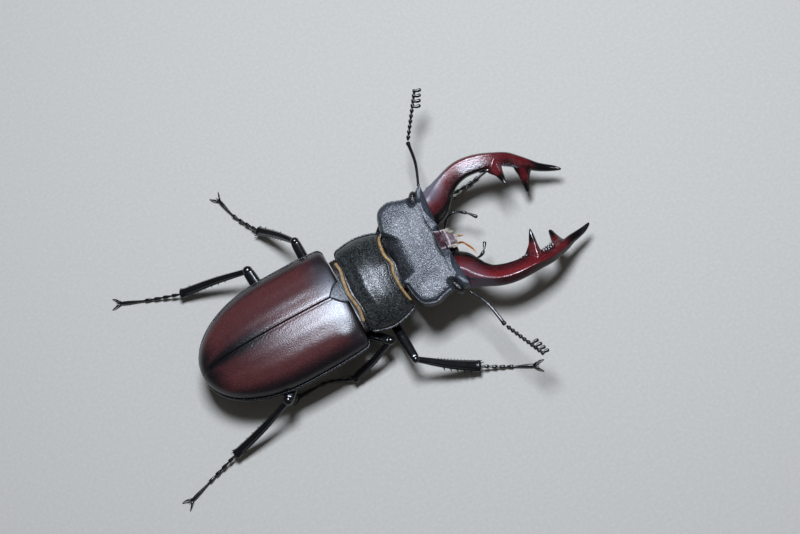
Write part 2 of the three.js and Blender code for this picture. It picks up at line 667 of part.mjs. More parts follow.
// Shin: wider towards the ankle, spined along its outer edge, with a fork of spurs at the ankle.
function shin(name) {
  const { hip, knee, ankle } = LEGS[name];
  const { flare, spines, spineLength } = kindOf(name);
  const shinSize = (t) => [0.54 + (flare + 0.06) * t, 0.5 + 0.16 * t];
  const shaft = limb([knee, between(knee, ankle, 0.5), ankle], shinSize, {
    sides: 8, steps: 5,
  });
  const ahead = new THREE.Vector3(...ankle).sub(new THREE.Vector3(...knee)).normalize();
  const side = new THREE.Vector3(0, 0, 1).cross(ahead).normalize();
  const away = new THREE.Vector3(...knee).sub(new THREE.Vector3(...hip));
  const outward = Math.sign(side.dot(away)) || 1;
  const spike = (place, out, onward, thick) => {
    const root = new THREE.Vector3(...between(knee, ankle, place));
    const end = root.clone().addScaledVector(side, outward * out).addScaledVector(ahead, onward);
    const taper = (t) => [lerp(thick, 0.05, t), lerp(thick, 0.05, t)];
    return limb([root.toArray(), end.toArray()], taper, { sides: 5, steps: 1 });
  };
  const edge = Array.from({ length: spines }, (_, i) => {
    const place = lerp(0.42, 0.84, i / (spines - 1));
    return spike(place, 0.46 + flare * place + 0.7 * spineLength, 0.5, 0.28);
  });
  const spurs = [spike(0.93, -1.25, 1.15, 0.28), spike(0.95, 0.85 + flare, 0.8, 0.3)];
  return cutAway(joined([shaft, ...edge, ...spurs]), [thigh(name, GAP)]);
}

// Foot: four short joints and a long one, flattened where it stands, with two hooked claws.
function foot(name) {
  const { knee, ankle, steps } = LEGS[name];
  const lead = new THREE.Vector3(...ankle).sub(new THREE.Vector3(...knee)).normalize();
  const start = new THREE.Vector3(...ankle).addScaledVector(lead, 0.45);
  const [mid, end] = steps;
  const route = [start.toArray(), [...mid, FOOT_RADIUS + 0.12], [...end, FOOT_RADIUS - 0.08]];
  const shares = (t) => (t < 0.6 ? (t / 0.6) * (FOOT_JOINTS - 1) : FOOT_JOINTS - 1 + (t - 0.6) / 0.4);
  const size = (t) => {
    const part = t > 0.999 ? 0.9 : shares(t) % 1;
    return [lerp(0.25, FOOT_RADIUS, part), lerp(0.25, FOOT_RADIUS, part)];
  };
  const joints = limb(route, size, { sides: 6, steps: 15 });
  const tip = new THREE.Vector3(...route[2]);
  const ahead = new THREE.Vector3(end[0] - mid[0], end[1] - mid[1], 0).normalize();
  const side = new THREE.Vector3(0, 0, 1).cross(ahead);
  const claws = [-1, 1].map((hand) => {
    const reach = (forward, out, z) => (
      tip.clone().addScaledVector(ahead, forward).addScaledVector(side, out * hand).setZ(z)
    );
    const bow = [reach(-0.3, 0.05, tip.z), reach(0.9, 0.75, 0.55), reach(1.7, 1.1, 0.12)];
    const clawSize = (t) => [0.2 - 0.14 * t, 0.2 - 0.14 * t];
    return limb(bow.map((p) => p.toArray()), clawSize, { sides: 4, steps: 3 });
  });
  const whole = joined([joints, ...claws]);
  const place = whole.getAttribute("position");
  for (let i = 0; i < place.count; i += 1) place.setZ(i, Math.max(0, place.getZ(i)));
  return whole;
}

// Colours and surfaces
const surface = (color, roughness, metalness = 0) => (
  new THREE.MeshStandardMaterial({ color, roughness, metalness })
);
const MATERIALS = {
  wing: surface(0x3a1c1e, 0.35),
  shield: surface(0x1d1d20, 0.5),
  head: surface(0x26282d, 0.6),
  jaw: surface(0x5a1518, 0.15),
  leg: surface(0x0d0d0f, 0.25),
  belly: surface(0x141214, 0.45),
  eye: surface(0x050506, 0.1),
  brush: surface(0xb07a3a, 0.8),
};

const beetle = new THREE.Group();
const headGroup = new THREE.Group();
headGroup.position.copy(NECK);
headGroup.rotation.z = degToRad(HEAD_TURN);
beetle.add(headGroup);

function add(group, name, geometry, material) {
  geometry.computeVertexNormals();
  const mesh = new THREE.Mesh(geometry, MATERIALS[material]);
  mesh.name = name;
  group.add(mesh);
  return mesh;
}

const grownThighs = Object.keys(LEGS).map((name) => thigh(name, GAP));
const scutellumSlot = scutellumPrism(1.6 * GAP, 9.0, 5);
const scutellumSeat = scutellumPrism(GAP, SCUTELLUM_UNDER - GAP, 3);

add(beetle, "elytron_left", cutAway(wingCase(), [scutellumSlot]), "wing");
add(beetle, "elytron_right", cutAway(mirrored(wingCase()), [scutellumSlot]), "wing");
add(beetle, "scutellum", scutellum(), "shield");
add(beetle, "metathorax", cutAway(trunk(0, -10.6, 0, 7), [scutellumSeat, ...grownThighs]), "belly");
add(beetle, "abdomen", cutAway(trunk(-10.6 - GAP, -27.4, 5, 15), grownThighs), "belly");
add(beetle, "waist", cutAway(waist(), grownThighs), "belly");
add(beetle, "pronotum", shield(), "shield");
add(beetle, "prosternum", cutAway(breast(), grownThighs), "belly");
add(beetle, "neck", neck(), "belly");

add(headGroup, "head", head([eye(GAP), mirrored(eye(GAP))]), "head");
add(headGroup, "labrum", lip(), "brush");
add(headGroup, "mentum", chin(), "brush");
for (const [side, sign] of [["left", 1], ["right", -1]]) {
  add(headGroup, `eye_${side}`, onSide(sign, eye()), "eye");
  const jawGroup = new THREE.Group();
  jawGroup.position.set(JAW_PIVOT.x, sign * JAW_PIVOT.y + JAW_SHIFT, 0);
  jawGroup.rotation.z = degToRad(JAW_TURN);
  headGroup.add(jawGroup);
  const jawShape = jaw(side);
  jawShape.translate(-JAW_PIVOT.x, -JAW_PIVOT.y, 0);
  add(jawGroup, `mandible_${side}`, onSide(sign, jawShape), "jaw");
  add(headGroup, `palp_${side}`, palp(PALPS[side]), "leg");
  add(headGroup, `antenna_${side}_scape`, feelerStem(FEELERS[side]), "leg");
  add(headGroup, `antenna_${side}_club`, feelerClub(FEELERS[side]), "leg");
}

for (const name of Object.keys(LEGS)) {
  add(beetle, `${name}_femur`, thigh(name), "leg");
  add(beetle, `${name}_tibia`, shin(name), "leg");
  add(beetle, `${name}_tarsus`, foot(name), "leg");
}

// The origin moves to the middle of the footprint, on the ground.
beetle.updateMatrixWorld(true);
const box = new THREE.Box3().setFromObject(beetle, true);
const part = new THREE.Group();
beetle.position.set(-(box.min.x + box.max.x) / 2, -(box.min.y + box.max.y) / 2, -box.min.z);
part.add(beetle);

export default part;
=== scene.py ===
# A male stag beetle, life size: the horn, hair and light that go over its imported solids.
import math
from functools import reduce
import bpy
import numpy as np
from mathutils import Matrix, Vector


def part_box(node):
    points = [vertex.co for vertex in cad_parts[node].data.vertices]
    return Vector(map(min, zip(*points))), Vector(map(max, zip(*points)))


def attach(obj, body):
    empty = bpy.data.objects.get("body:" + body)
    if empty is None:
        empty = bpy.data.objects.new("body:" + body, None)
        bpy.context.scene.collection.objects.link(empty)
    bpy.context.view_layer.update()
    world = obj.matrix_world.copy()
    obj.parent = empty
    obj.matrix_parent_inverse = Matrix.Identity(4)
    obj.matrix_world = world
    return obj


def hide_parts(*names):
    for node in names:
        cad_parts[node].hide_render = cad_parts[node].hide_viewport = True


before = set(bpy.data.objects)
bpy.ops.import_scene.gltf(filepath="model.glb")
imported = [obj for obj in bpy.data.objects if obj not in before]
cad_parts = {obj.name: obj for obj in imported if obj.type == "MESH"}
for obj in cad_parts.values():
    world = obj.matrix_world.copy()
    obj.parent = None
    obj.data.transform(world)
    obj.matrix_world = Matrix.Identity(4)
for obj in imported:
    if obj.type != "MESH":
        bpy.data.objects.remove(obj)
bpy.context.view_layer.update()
print("frame loaded:", len(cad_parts), "solids")

# The beetle is worked out in millimetres in its own frame: x forward from the root of the wing cases,
# y to its left from the middle plane, z up from the ground. The left wing case tells where that lies.
wingLength = 29.95
seamHalf = 0.15
wingCorner = 1000 * np.array(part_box("elytron_left")[0])
frameShift = np.array([wingCorner[0] + wingLength, wingCorner[1] - seamHalf, 0.0])
bothSides = ("left", "right")


def toMetres(points):
    return (np.asarray(points) + frameShift) / 1000


# How far x has come from one place to the other, as a part from 0 to 1.
def part(x, low, high):
    return np.clip((x - low) / (high - low), 0, 1)


# The same part t with soft ends: three t squared less two t cubed.
def smooth(x, low, high):
    t = part(x, low, high)
    return t * t * (3 - 2 * t)


# A bell curve: e to the minus square of the distance from its centre, counted in widths.
def bell(x, centre, width):
    return np.exp(-(((x - centre) / width) ** 2))


def blendOf(a, b, t):
    return a + (b - a) * t


# Height of an oval bow over t: the root of one less t to a power, and at least the root of the floor.
def ovalOf(t, power=2, floor=0.0):
    return np.sqrt(np.maximum(floor, 1 - np.abs(t) ** power))


# Fall of an edge that rolls over: 0 from the reach inwards, and along a quarter oval to 1 at the edge.
def rollOver(inset, reach):
    return 1 - ovalOf(part(inset, reach, 0))


def most(*values):
    return reduce(np.maximum, values)


def unit(vectors):
    return vectors / np.linalg.norm(vectors, axis=-1, keepdims=True)


def column(low, high, count):
    return np.linspace(low, high, count)[:, None]


# Parts from 0 to 1 that lie closer together towards both ends, along half a cosine wave.
def closeAtEnds(count):
    return 0.5 - 0.5 * np.cos(np.pi * column(0, 1, count))


def anglesOf(count):
    return 2 * np.pi * np.arange(count) / count


# Points of a grid from their coordinates, each of them a number, a column, a row or a whole grid.
def pointsOf(x, y, z):
    return np.stack(np.broadcast_arrays(x, y, z), axis=-1)


# A value read off (place, value) pairs along cubics that never overshoot them: the slope at each pair is
# the harmonic mean of the slopes beside it, and nought where those differ in sign.
def readOff(pairs):
    places, values = np.array(pairs, float).T
    rise = np.diff(values) / np.diff(places)
    product = rise[:-1] * rise[1:]
    level = product <= 0
    slopes = np.where(level, 0, 2 * product / np.where(level, 1, rise[:-1] + rise[1:]))
    slopes = np.concatenate([rise[:1], slopes, rise[-1:]])
    def read(t):
        t = np.clip(np.asarray(t, float), places[0], places[-1])
        n = np.clip(np.searchsorted(places, t, side="left"), 1, len(places) - 1)
        step = places[n] - places[n - 1]
        s = (t - places[n - 1]) / step
        bent = step * s * (1 - s) * (slopes[n - 1] * (1 - s) - slopes[n] * s)
        return blendOf(values[n - 1], values[n], s * s * (3 - 2 * s)) + bent
    return read


# Points and unit directions of a smooth curve through the route, an equal way apart. Each stretch is a
# cubic whose end slopes come from the neighbouring points, weighted by the root of their distance.
def followRoute(route, count, fine=60):
    p = np.asarray(route, float)
    p = np.vstack([2 * p[0] - p[1], p, 2 * p[-1] - p[-2]])
    gap = np.linalg.norm(np.diff(p, axis=0), axis=1) ** 0.5
    s = np.linspace(0, 1, fine, endpoint=False)[:, None]
    stretches = []
    for i in range(1, len(p) - 2):
        a, b, c, d = p[i - 1:i + 3]
        before, here, after = gap[i - 1:i + 2]
        leave = here * ((b - a) / before - (c - a) / (before + here) + (c - b) / here)
        arrive = here * ((c - b) / here - (d - b) / (here + after) + (d - c) / after)
        stretches.append(b + s * leave + s ** 2 * (3 * (c - b) - 2 * leave - arrive)
                         + s ** 3 * (2 * (b - c) + leave + arrive))
    line = np.vstack(stretches + [p[-2:-1]])
    way = np.concatenate([[0], np.cumsum(np.linalg.norm(np.diff(line, axis=0), axis=1))])
    wanted = np.linspace(0, way[-1], count)
    points = np.stack([np.interp(wanted, way, line[:, k]) for k in range(3)], axis=1)
    return points, unit(np.gradient(points, axis=0))


# Faces point outwards: a surface whose signed volume comes out negative is turned round.
def facingOut(points, quads, fans):
    triangles = np.concatenate([quads[:, :3], quads[:, [0, 2, 3]], fans])
    a, b, c = (points[triangles[:, k]] for k in range(3))
    if np.einsum("ij,ij->", a, np.cross(b, c)) > 0:
        return points, quads, fans
    return points, quads[:, ::-1], fans[:, ::-1]


# Four-sided faces between neighbours of two rows, or of two grids a column apart.
def facesBetween(a, b):
    return np.stack([a[:-1], b[:-1], b[1:], a[1:]], axis=-1).reshape(-1, 4)


# One closed surface: rings of points, one after the other, with a fan of three-sided faces at each end.
def closedTube(rings):
    rows, columns = rings.shape[:2]
    corner = np.arange(rows * columns).reshape(rows, columns)
    beside = np.roll(corner, -1, axis=1)
    first, last = (np.full(columns, rows * columns + k) for k in (0, 1))
    fans = np.concatenate([np.stack([first, beside[0], corner[0]], axis=1),
                           np.stack([last, corner[-1], beside[-1]], axis=1)])
    points = np.vstack([rings.reshape(-1, 3), rings[0].mean(axis=0), rings[-1].mean(axis=0)])
    return facingOut(points, facesBetween(corner, beside), fans)


# A closed plate: an upper and a lower grid of points of one size, walled along their four borders.
def closedPlate(upper, lower):
    rows, columns = upper.shape[:2]
    top = np.arange(rows * columns).reshape(rows, columns)
    under = top + rows * columns
    quads = np.concatenate([
        facesBetween(top[:, :-1], top[:, 1:]), facesBetween(under[:, :-1], under[:, 1:])[:, ::-1],
        facesBetween(top[0], under[0]), facesBetween(under[-1], top[-1]),
        facesBetween(under[:, 0], top[:, 0]), facesBetween(top[:, -1], under[:, -1])])
    return facingOut(np.vstack([upper.reshape(-1, 3), lower.reshape(-1, 3)]), quads, np.zeros((0, 3), int))


# Several closed surfaces as one set of arrays.
def together(surfaces):
    points, quads, fans = zip(*surfaces)
    starts = np.cumsum([0] + [len(p) for p in points])
    return (np.vstack(points), np.vstack([q + start for q, start in zip(quads, starts)]),
            np.vstack([f + start for f, start in zip(fans, starts)]))


# An oval ring carried along a route. half and tall are the ring's half width and half height at each
# station, and shape(t, a) is a factor on its radius at the part t of the way and the angle a round it.
# With level at 1 the first ring stands square to x, whatever way the route sets out.
def sweep(route, half, tall, sides, steps, shape=None, level=0.0):
    centres, ahead = followRoute(route, steps + 1)
    t = column(0, 1, steps + 1)
    ahead = unit(blendOf(ahead, np.array([1.0, 0, 0]), level * (1 - smooth(t, 0, 0.25))))
    across = unit(np.cross([0, 0, 1.0], ahead))
    above = np.cross(ahead, across)
    a = anglesOf(sides)
    factor = 1.0 if shape is None else shape(t, a)
    wide = (half(t) * np.cos(a) * factor)[..., None]
    high = (tall(t) * np.sin(a) * factor)[..., None]
    return closedTube(centres[:, None] + across[:, None] * wide + above[:, None] * high)


# Rounds a tube's ends off: an oval bow over each end's length, as parts of the way.
def roundEnds(t, first, last):
    start = ovalOf(part(t, first, 0), 2, 0.003) if first else 1.0
    return start * ovalOf(part(t, 1 - last, 1), 2, 0.003)


# A curved spine: its radius falls off as a power of the way left to the tip.
def spine(route, radius, flat, sides, steps, power=0.8, tip=0.03):
    size = lambda t: (radius * (1 - t) ** power + tip) * roundEnds(t, 0, 0.04)
    return sweep(route, size, lambda t: flat * size(t), sides, steps)


# A string of beads along a route: within each the radius is thin at the root and swells to a round end.
def beadString(route, count, thin, thick, sides, full=0.72):
    def size(t):
        s = np.minimum(t * count, count - 1e-6) % 1.0
        swell = smooth(s, 0.0, full) * ovalOf(part(s, full, 1))
        return blendOf(thin, thick, swell) * roundEnds(t, 0.01, 0.02)
    return sweep(route, size, size, sides, 16 * count)


# An oval ball, as rings round the x axis: minus the cosine along it, the sine across it.
def ball(centre, radii, sides, steps):
    t = column(0, np.pi, steps + 1)
    a = anglesOf(sides)
    ring = np.maximum(0.004, np.sin(t))
    return closedTube(centre + pointsOf(-np.cos(t), ring * np.cos(a), ring * np.sin(a)) * radii)


def makeMesh(name, points, quads, fans):
    mesh = bpy.data.meshes.new(name)
    corners = np.concatenate([quads.ravel(), fans.ravel()])
    sizes = np.repeat([4, 3], [len(quads), len(fans)])
    mesh.vertices.add(len(points))
    mesh.vertices.foreach_set("co", np.asarray(points, np.float32).ravel())
    mesh.loops.add(len(corners))
    mesh.loops.foreach_set("vertex_index", corners.astype(np.int32))
    mesh.polygons.add(len(sizes))
    mesh.polygons.foreach_set("loop_start", (np.cumsum(sizes) - sizes).astype(np.int32))
    mesh.update(calc_edges=True)
    mesh.shade_smooth()
    return mesh


def setValues(mesh, name, values):
    values = np.clip(np.asarray(values, np.float32).ravel(), 0, 1)
    mesh.attributes.new(name, "FLOAT", "POINT").data.foreach_set("value", values)


pieces = []


# A piece of the beetle, riding on the one body in place of its solids.
def placePiece(name, mesh, material, nodes=()):
    piece = bpy.data.objects.new(name, mesh)
    bpy.context.scene.collection.objects.link(piece)
    piece.data.materials.append(material)
    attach(piece, "root")
    if nodes:
        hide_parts(*nodes)
    pieces.append(piece)


# The same from a surface in millimetres, with its tone and its painted sheen and wear as values at the
# points.
def addPiece(name, surface, material, nodes=(), tone=None, bloom=None):
    points, quads, fans = surface
    mesh = makeMesh(name, toMetres(points), quads, fans)
    for key, values in (("tone", tone), ("bloom", bloom)):
        if values is not None:
            setValues(mesh, key, values)
    placePiece(name, mesh, material, nodes)


# A surface made for the left side, mirrored in the middle plane for the right.
def onSide(side, surface):
    points, quads, fans = surface
    return surface if side == "left" else (points * [1, -1, 1], quads[:, ::-1], fans[:, ::-1])


def turned(points, degrees):
    c, s = math.cos(math.radians(degrees)), math.sin(math.radians(degrees))
    return np.asarray(points) @ np.array([[c, s, 0], [-s, c, 0], [0, 0, 1]])


def moved(surface, move):
    return (move(surface[0]), *surface[1:])


def hexColour(code):
    s = np.array([int(code[k:k + 2], 16) / 255 for k in (1, 3, 5)])
    linear = np.where(s <= 0.04045, s / 12.92, ((s + 0.055) / 1.055) ** 2.4)
    return (*(float(v) for v in linear), 1.0)


# Adds a node and gives back one of its outputs. Settings go to its properties or, where it has none of
# that name, to its inputs.
def addNode(tree, kind, settings, links, output=0):
    node = tree.nodes.new("ShaderNode" + kind)
    for key, value in settings.items():
        if key == "ramp":
            ramp = node.color_ramp.elements
            while len(ramp) < len(value):
                ramp.new(0.5)
            for stop, (place, colour) in zip(ramp, value):
                stop.position, stop.color = place, hexColour(colour)
        elif isinstance(key, str) and hasattr(node, key):
            setattr(node, key, value)
        else:
            node.inputs[key].default_value = value
    for key, source in links.items():
        tree.links.new(source, node.inputs[key])
    return node.outputs[output] if node.outputs else node


# A material made of one shader, whose settings and links dress(tree) gives.
def newMaterial(name, dress):
    material = bpy.data.materials.new(name)
    material.use_nodes = True
    tree = material.node_tree
    tree.nodes.clear()
    skin = addNode(tree, "BsdfPrincipled", *dress(tree))
    addNode(tree, "OutputMaterial", {}, {"Surface": skin})
    return material


def perMetre(millimetres):
    return 1000 / millimetres


# Painted glints: pale specks in the colour, where the real grain catches the light. Both the grain and its
# glints are a few hundredths of a millimetre wide, and both are drawn about four times as coarse, so that
# they show.
glintSize = 0.2


# Horn: the hardened skin of the body. Its colour runs from dark to bright with the piece's tone, and it
# carries three reliefs, each with its spacing in millimetres and its strength: slow waves, shallow dimples
# and grains, which give the sparkle. Pale specks in its colour are painted glints. Where a toned piece is
# dark it can be duller too, or glossier, and its painted glints can fade out. A grey can also be mixed in
# where a piece is given painted sheen or wear.
def hornMaterial(name, look):
    def dress(tree):
        place = addNode(tree, "TexCoord", {}, {}, "Object")
        cells = {"Scale": perMetre(look["grain"][0]), "feature": "SMOOTH_F1", "Smoothness": 0.6}
        field = {"grain": addNode(tree, "TexVoronoi", cells, {"Vector": place})}
        noises = {"cloud": (look["cloud"], 3.0, 0.5), "dimple": (look["dimple"][0], 4.0, 0.6),
                  "wave": (look["wave"][0], 1.0, 0.5), "glintSpecks": (glintSize, 1.0, 0.5)}
        for key, (size, detail, rough) in noises.items():
            if key in look:
                field[key] = addNode(tree, "TexNoise", {
                    "Scale": perMetre(size), "Detail": detail, "Roughness": rough}, {"Vector": place})
        shade = field["cloud"]
        if look.get("toned"):
            tone = addNode(tree, "Attribute", {"attribute_name": "tone"}, {}, "Fac")
            mottle = addNode(tree, "Math", {
                "operation": "MULTIPLY_ADD", 1: look["mottle"], 2: -look["mottle"] / 2}, {0: shade})
            shade = addNode(tree, "Math", {"operation": "ADD", "use_clamp": True}, {0: tone, 1: mottle})
        colour = addNode(tree, "ValToRGB", {"ramp": look["colours"]}, {"Fac": shade})
        polish = addNode(tree, "MapRange", {
            "To Min": look["roughness"][0], "To Max": look["roughness"][1]}, {"Value": field["dimple"]})
        if look.get("dull"):
            dull = addNode(tree, "MapRange", {
                "From Max": 0.35, "To Min": look["dull"], "To Max": 0.0}, {"Value": tone})
            polish = addNode(tree, "Math", {"operation": "ADD"}, {0: polish, 1: dull})
        # Painted sheen and wear: a grey mixed in by the piece's values, painted sheen on the wing cases' base
        # and partly on the jaws' feet, real wear on the denticles' tips.
        if look.get("bloom"):
            bloom = addNode(tree, "Attribute", {"attribute_name": "bloom"}, {}, "Fac")
            colour = addNode(tree, "Mix", {
                "data_type": "RGBA", 7: hexColour(look["bloom"])}, {0: bloom, 6: colour}, 2)
        if look.get("paintedSheenAndWearDull"):
            polish = addNode(tree, "Math", {
                "operation": "MULTIPLY_ADD", 1: look["paintedSheenAndWearDull"]}, {0: bloom, 2: polish})
        # Painted glints: pale specks mixed into the colour, fading where a toned piece is dark.
        if look.get("glintSpecks"):
            spread = addNode(tree, "MapRange", {
                "From Min": 0.5, "From Max": 0.72, "To Max": look["glintShare"]}, {"Value": field["glintSpecks"]})
            if look.get("glintFade"):
                spread = addNode(tree, "Math", {"operation": "MULTIPLY"}, {0: spread, 1: shade})
            colour = addNode(tree, "Mix", {
                "data_type": "RGBA", 7: hexColour(look["glintSpecks"])}, {0: spread, 6: colour}, 2)
        # Each relief is added to the one before it, with its height in metres.
        layers = {}
        for key, height in (("wave", 0.001), ("dimple", 0.0003), ("grain", 0.0002)):
            layers["Normal"] = addNode(tree, "Bump", {
                "Strength": look[key][1], "Distance": height, "invert": key == "grain",
            }, {"Height": field[key], **layers})
        coat = {"Coat Weight": look.get("coat", 0.0), "Coat Roughness": look.get("coatRoughness", 0.1)}
        return {"IOR": 1.56, **coat}, {"Base Color": colour, "Roughness": polish, **layers}
    return newMaterial(name, dress)


# Wing case: thin horn over air, chestnut where light reaches through it and black at its edges, silky.
# A silvery grey mixed in at its base is a painted sheen.
wingHorn = hornMaterial("chestnutWingHorn", {
    "toned": True, "mottle": 0.2, "cloud": 1.6, "bloom": "#6a6c76",
    "colours": [(0.0, "#08070a"), (0.35, "#1d1013"), (0.75, "#3b191b"), (1.0, "#4d2423")],
    "glintSpecks": "#6e5254", "glintShare": 0.32, "glintFade": True,
    "grain": (0.18, 0.1), "dimple": (0.5, 0.025), "wave": (3.5, 0.03),
    "roughness": (0.23, 0.31),
})
# Neck shield: thick black horn, shagreened all over, so that it only has a silky glow.
shieldHorn = hornMaterial("blackShagreenHorn", {
    "cloud": 2.2, "colours": [(0.3, "#08080a"), (0.7, "#101113")],
    "glintSpecks": "#5c625f", "glintShare": 0.75,
    "grain": (0.2, 0.24), "dimple": (0.55, 0.04), "wave": (3.0, 0.04),
    "roughness": (0.24, 0.32),
})
# Head: the same horn, coarser in its grain, charcoal with a blue-grey bloom.
headHorn = hornMaterial("charcoalGrainedHorn", {
    "toned": True, "mottle": 0.5, "cloud": 1.1,
    "colours": [(0.0, "#08080a"), (0.5, "#1e2126"), (1.0, "#343941")],
    "glintSpecks": "#6d747c", "glintShare": 0.5,
    "grain": (0.18, 0.38), "dimple": (0.6, 0.06), "wave": (2.6, 0.05),
    "roughness": (0.25, 0.34), "coat": 0.15, "coatRoughness": 0.3, "dull": 0.22,
})
# Jaw: polished horn that light enters, deep red, black along its inner edge and at its points. Its tone also
# carries painted shade, black on the inner wall, dark underneath and maroon on the outer face, and the grey
# at its foot is partly a painted sheen.
jawHorn = hornMaterial("polishedRedHorn", {
    "toned": True, "mottle": 0.12, "cloud": 1.2, "bloom": "#5c606c", "paintedSheenAndWearDull": 0.3,
    "colours": [(0.0, "#060405"), (0.4, "#26060a"), (0.8, "#540a10"), (1.0, "#690f14")],
    "glintSpecks": "#8a4a50", "glintShare": 0.3, "glintFade": True,
    "grain": (0.2, 0.14), "dimple": (0.45, 0.03), "wave": (3.0, 0.02),
    "roughness": (0.18, 0.26), "dull": -0.06,
})
# Leg: hard black horn worn to a gloss.
legHorn = hornMaterial("glossyLegHorn", {
    "cloud": 2.0, "colours": [(0.3, "#060607"), (0.8, "#0e0e11")],
    "grain": (0.22, 0.06), "dimple": (0.35, 0.05), "wave": (1.5, 0.04),
    "roughness": (0.16, 0.26), "coat": 0.3, "coatRoughness": 0.08,
})
# Underside: black-brown horn with coarse dimples.
bellyHorn = hornMaterial("blackBellyHorn", {
    "cloud": 2.5, "colours": [(0.3, "#0b0908"), (0.8, "#1c1412")],
    "grain": (0.25, 0.25), "dimple": (0.5, 0.2), "wave": (2.0, 0.06),
    "roughness": (0.26, 0.44), "coat": 0.1, "coatRoughness": 0.2,
})
# Eye: clear horn over black. Its six-sided facets are a fortieth of a millimetre and drawn at 0.09 mm.
eyeHorn = hornMaterial("facetedEyeHorn", {
    "cloud": 1.0, "colours": [(0.3, "#060606"), (0.8, "#0d0c0c")],
    "grain": (0.09, 0.35), "dimple": (0.3, 0.1), "wave": (2.0, 0.0),
    "roughness": (0.14, 0.22), "coat": 0.3, "coatRoughness": 0.06,
})
# Lip: thin horn and skin, mottled from maroon to a pale pinkish brown, dull.
lipHorn = hornMaterial("pinkishLipHorn", {
    "toned": True, "mottle": 0.8, "cloud": 0.45,
    "colours": [(0.0, "#1c0c0f"), (0.3, "#43222a"), (0.6, "#6d5a61"), (1.0, "#c6bbb4")],
    "grain": (0.18, 0.3), "dimple": (0.3, 0.35), "wave": (1.0, 0.2),
    "roughness": (0.3, 0.45),
})


# Bristle: solid hair of horn, translucent towards the tip, so a soft sheen and no grain.
def bristleMaterial(name, root, tip):
    def dress(tree):
        tone = addNode(tree, "Attribute", {"attribute_name": "tone"}, {}, "Fac")
        colour = addNode(tree, "ValToRGB", {"ramp": [(0.0, root), (1.0, tip)]}, {"Fac": tone})
        shine = {"Roughness": 0.42, "IOR": 1.55, "Sheen Weight": 0.2, "Sheen Roughness": 0.4}
        return shine, {"Base Color": colour}
    return newMaterial(name, dress)


goldenBristle = bristleMaterial("goldenBristle", "#9a6428", "#ffe6a8")
paleBristle = bristleMaterial("paleBristle", "#b8a992", "#f0e7d4")
orangeBristle = bristleMaterial("orangeBristle", "#a4561c", "#e59a4c")
brownBristle = bristleMaterial("brownBristle", "#2a1b0f", "#7a5930")
print("materials made")

bristle = {"sides": 3, "steps": 4, "taper": 0.92, "patch": 0.003}


# Many tapered bristles as one mesh. Each is a three-sided spike in four lengths that bends towards its
# droop: root + way * (s + bend of s squared). Its map patch is a small square at the root's own place.
def growBristles(name, roots, ways, lengths, droops, places, material, width, shade=1.0):
    count, steps, sides = len(roots), bristle["steps"], bristle["sides"]
    s = column(0, 1, steps + 1)
    bent = ways[:, None] * s + droops[:, None] * s ** 2
    line = roots[:, None] + bent * lengths[:, None, None]
    across = unit(np.cross(ways, [0.31, 0.17, 0.93]))
    above = unit(np.cross(ways, across))
    a = anglesOf(sides)[:, None]
    ring = across[:, None] * np.cos(a) + above[:, None] * np.sin(a)
    radius = width * (1 - bristle["taper"] * s ** 1.5)
    points = line[:, :, None] + ring[:, None] * radius[None, :, None]
    corner = np.arange(count * (steps + 1) * sides).reshape(count, steps + 1, sides)
    beside = np.roll(corner, -1, axis=2)
    quads = np.stack([corner[:, :-1], beside[:, :-1], beside[:, 1:], corner[:, 1:]], axis=-1).reshape(-1, 4)
    fans = np.concatenate([corner[:, 0, ::-1], corner[:, -1]])
    mesh = makeMesh(name, toMetres(points.reshape(-1, 3)), quads, fans)
    tone = s * np.broadcast_to(shade, count)[:, None, None]
    setValues(mesh, "tone", np.broadcast_to(tone, (count, steps + 1, sides)))
    patch = np.stack(np.broadcast_arrays(s, a.T / (2 * np.pi)), axis=-1) * bristle["patch"]
    where = (np.asarray(places)[:, None, None] + patch[None]).reshape(-1, 2)
    corners = np.concatenate([quads.ravel(), fans.ravel()])
    mesh.uv_layers.new(name="OFBake").data.foreach_set("uv", where[corners].astype(np.float32).ravel())
    placePiece(name, mesh, material)


wing = {
    "half": 11.3, "widest": 12.0, "ridge": 4.4, "margin": 7.5, "tipDrop": 0.7, "thick": 0.8, "rim": 0.45,
    "seam": 0.025, "domePower": 2.4, "rows": 240, "domeColumns": 120, "rimColumns": 22,
}
scutellum = {"length": 2.45, "half": 2.25, "rise": 0.1, "rows": 60, "columns": 60}


# Part of the way from the widest place back to the tip.
def wingTaper(x):
    return np.maximum(0, (-x - wing["widest"]) / (wingLength - wing["widest"]))


# Half width: a shoulder drawn in over the first millimetres, then a power curve that closes at the tip.
def wingHalf(x):
    shoulder = 0.5 * part(x, -wing["widest"], 0) ** 4 + 0.9 * part(x, -1.2, 0) ** 3
    return (wing["half"] - shoulder) * (1 - np.minimum(1, wingTaper(x)) ** 2.1) ** 0.46


# Height of the margins: level, then sinking as the square of the way to the tip.
def wingMargin(x):
    return wing["margin"] - wing["tipDrop"] * wingTaper(x) ** 2


# Rise of the ridge over the margins: it falls off forwards in a long curve, and steeply at the tip.
def wingRise(x):
    base = 0.75 * part(x, -14, 0) ** 2 + 0.25 * part(x, -2, 0) ** 2
    return (wing["ridge"] - base) * (1 - np.minimum(1, wingTaper(x)) ** 3.4) ** 0.45


# Half width of the scutellum at x: a triangle with bowed sides.
def scutellumHalf(x):
    return scutellum["half"] * (1 - part(x, 0, -scutellum["length"]) ** 1.45)


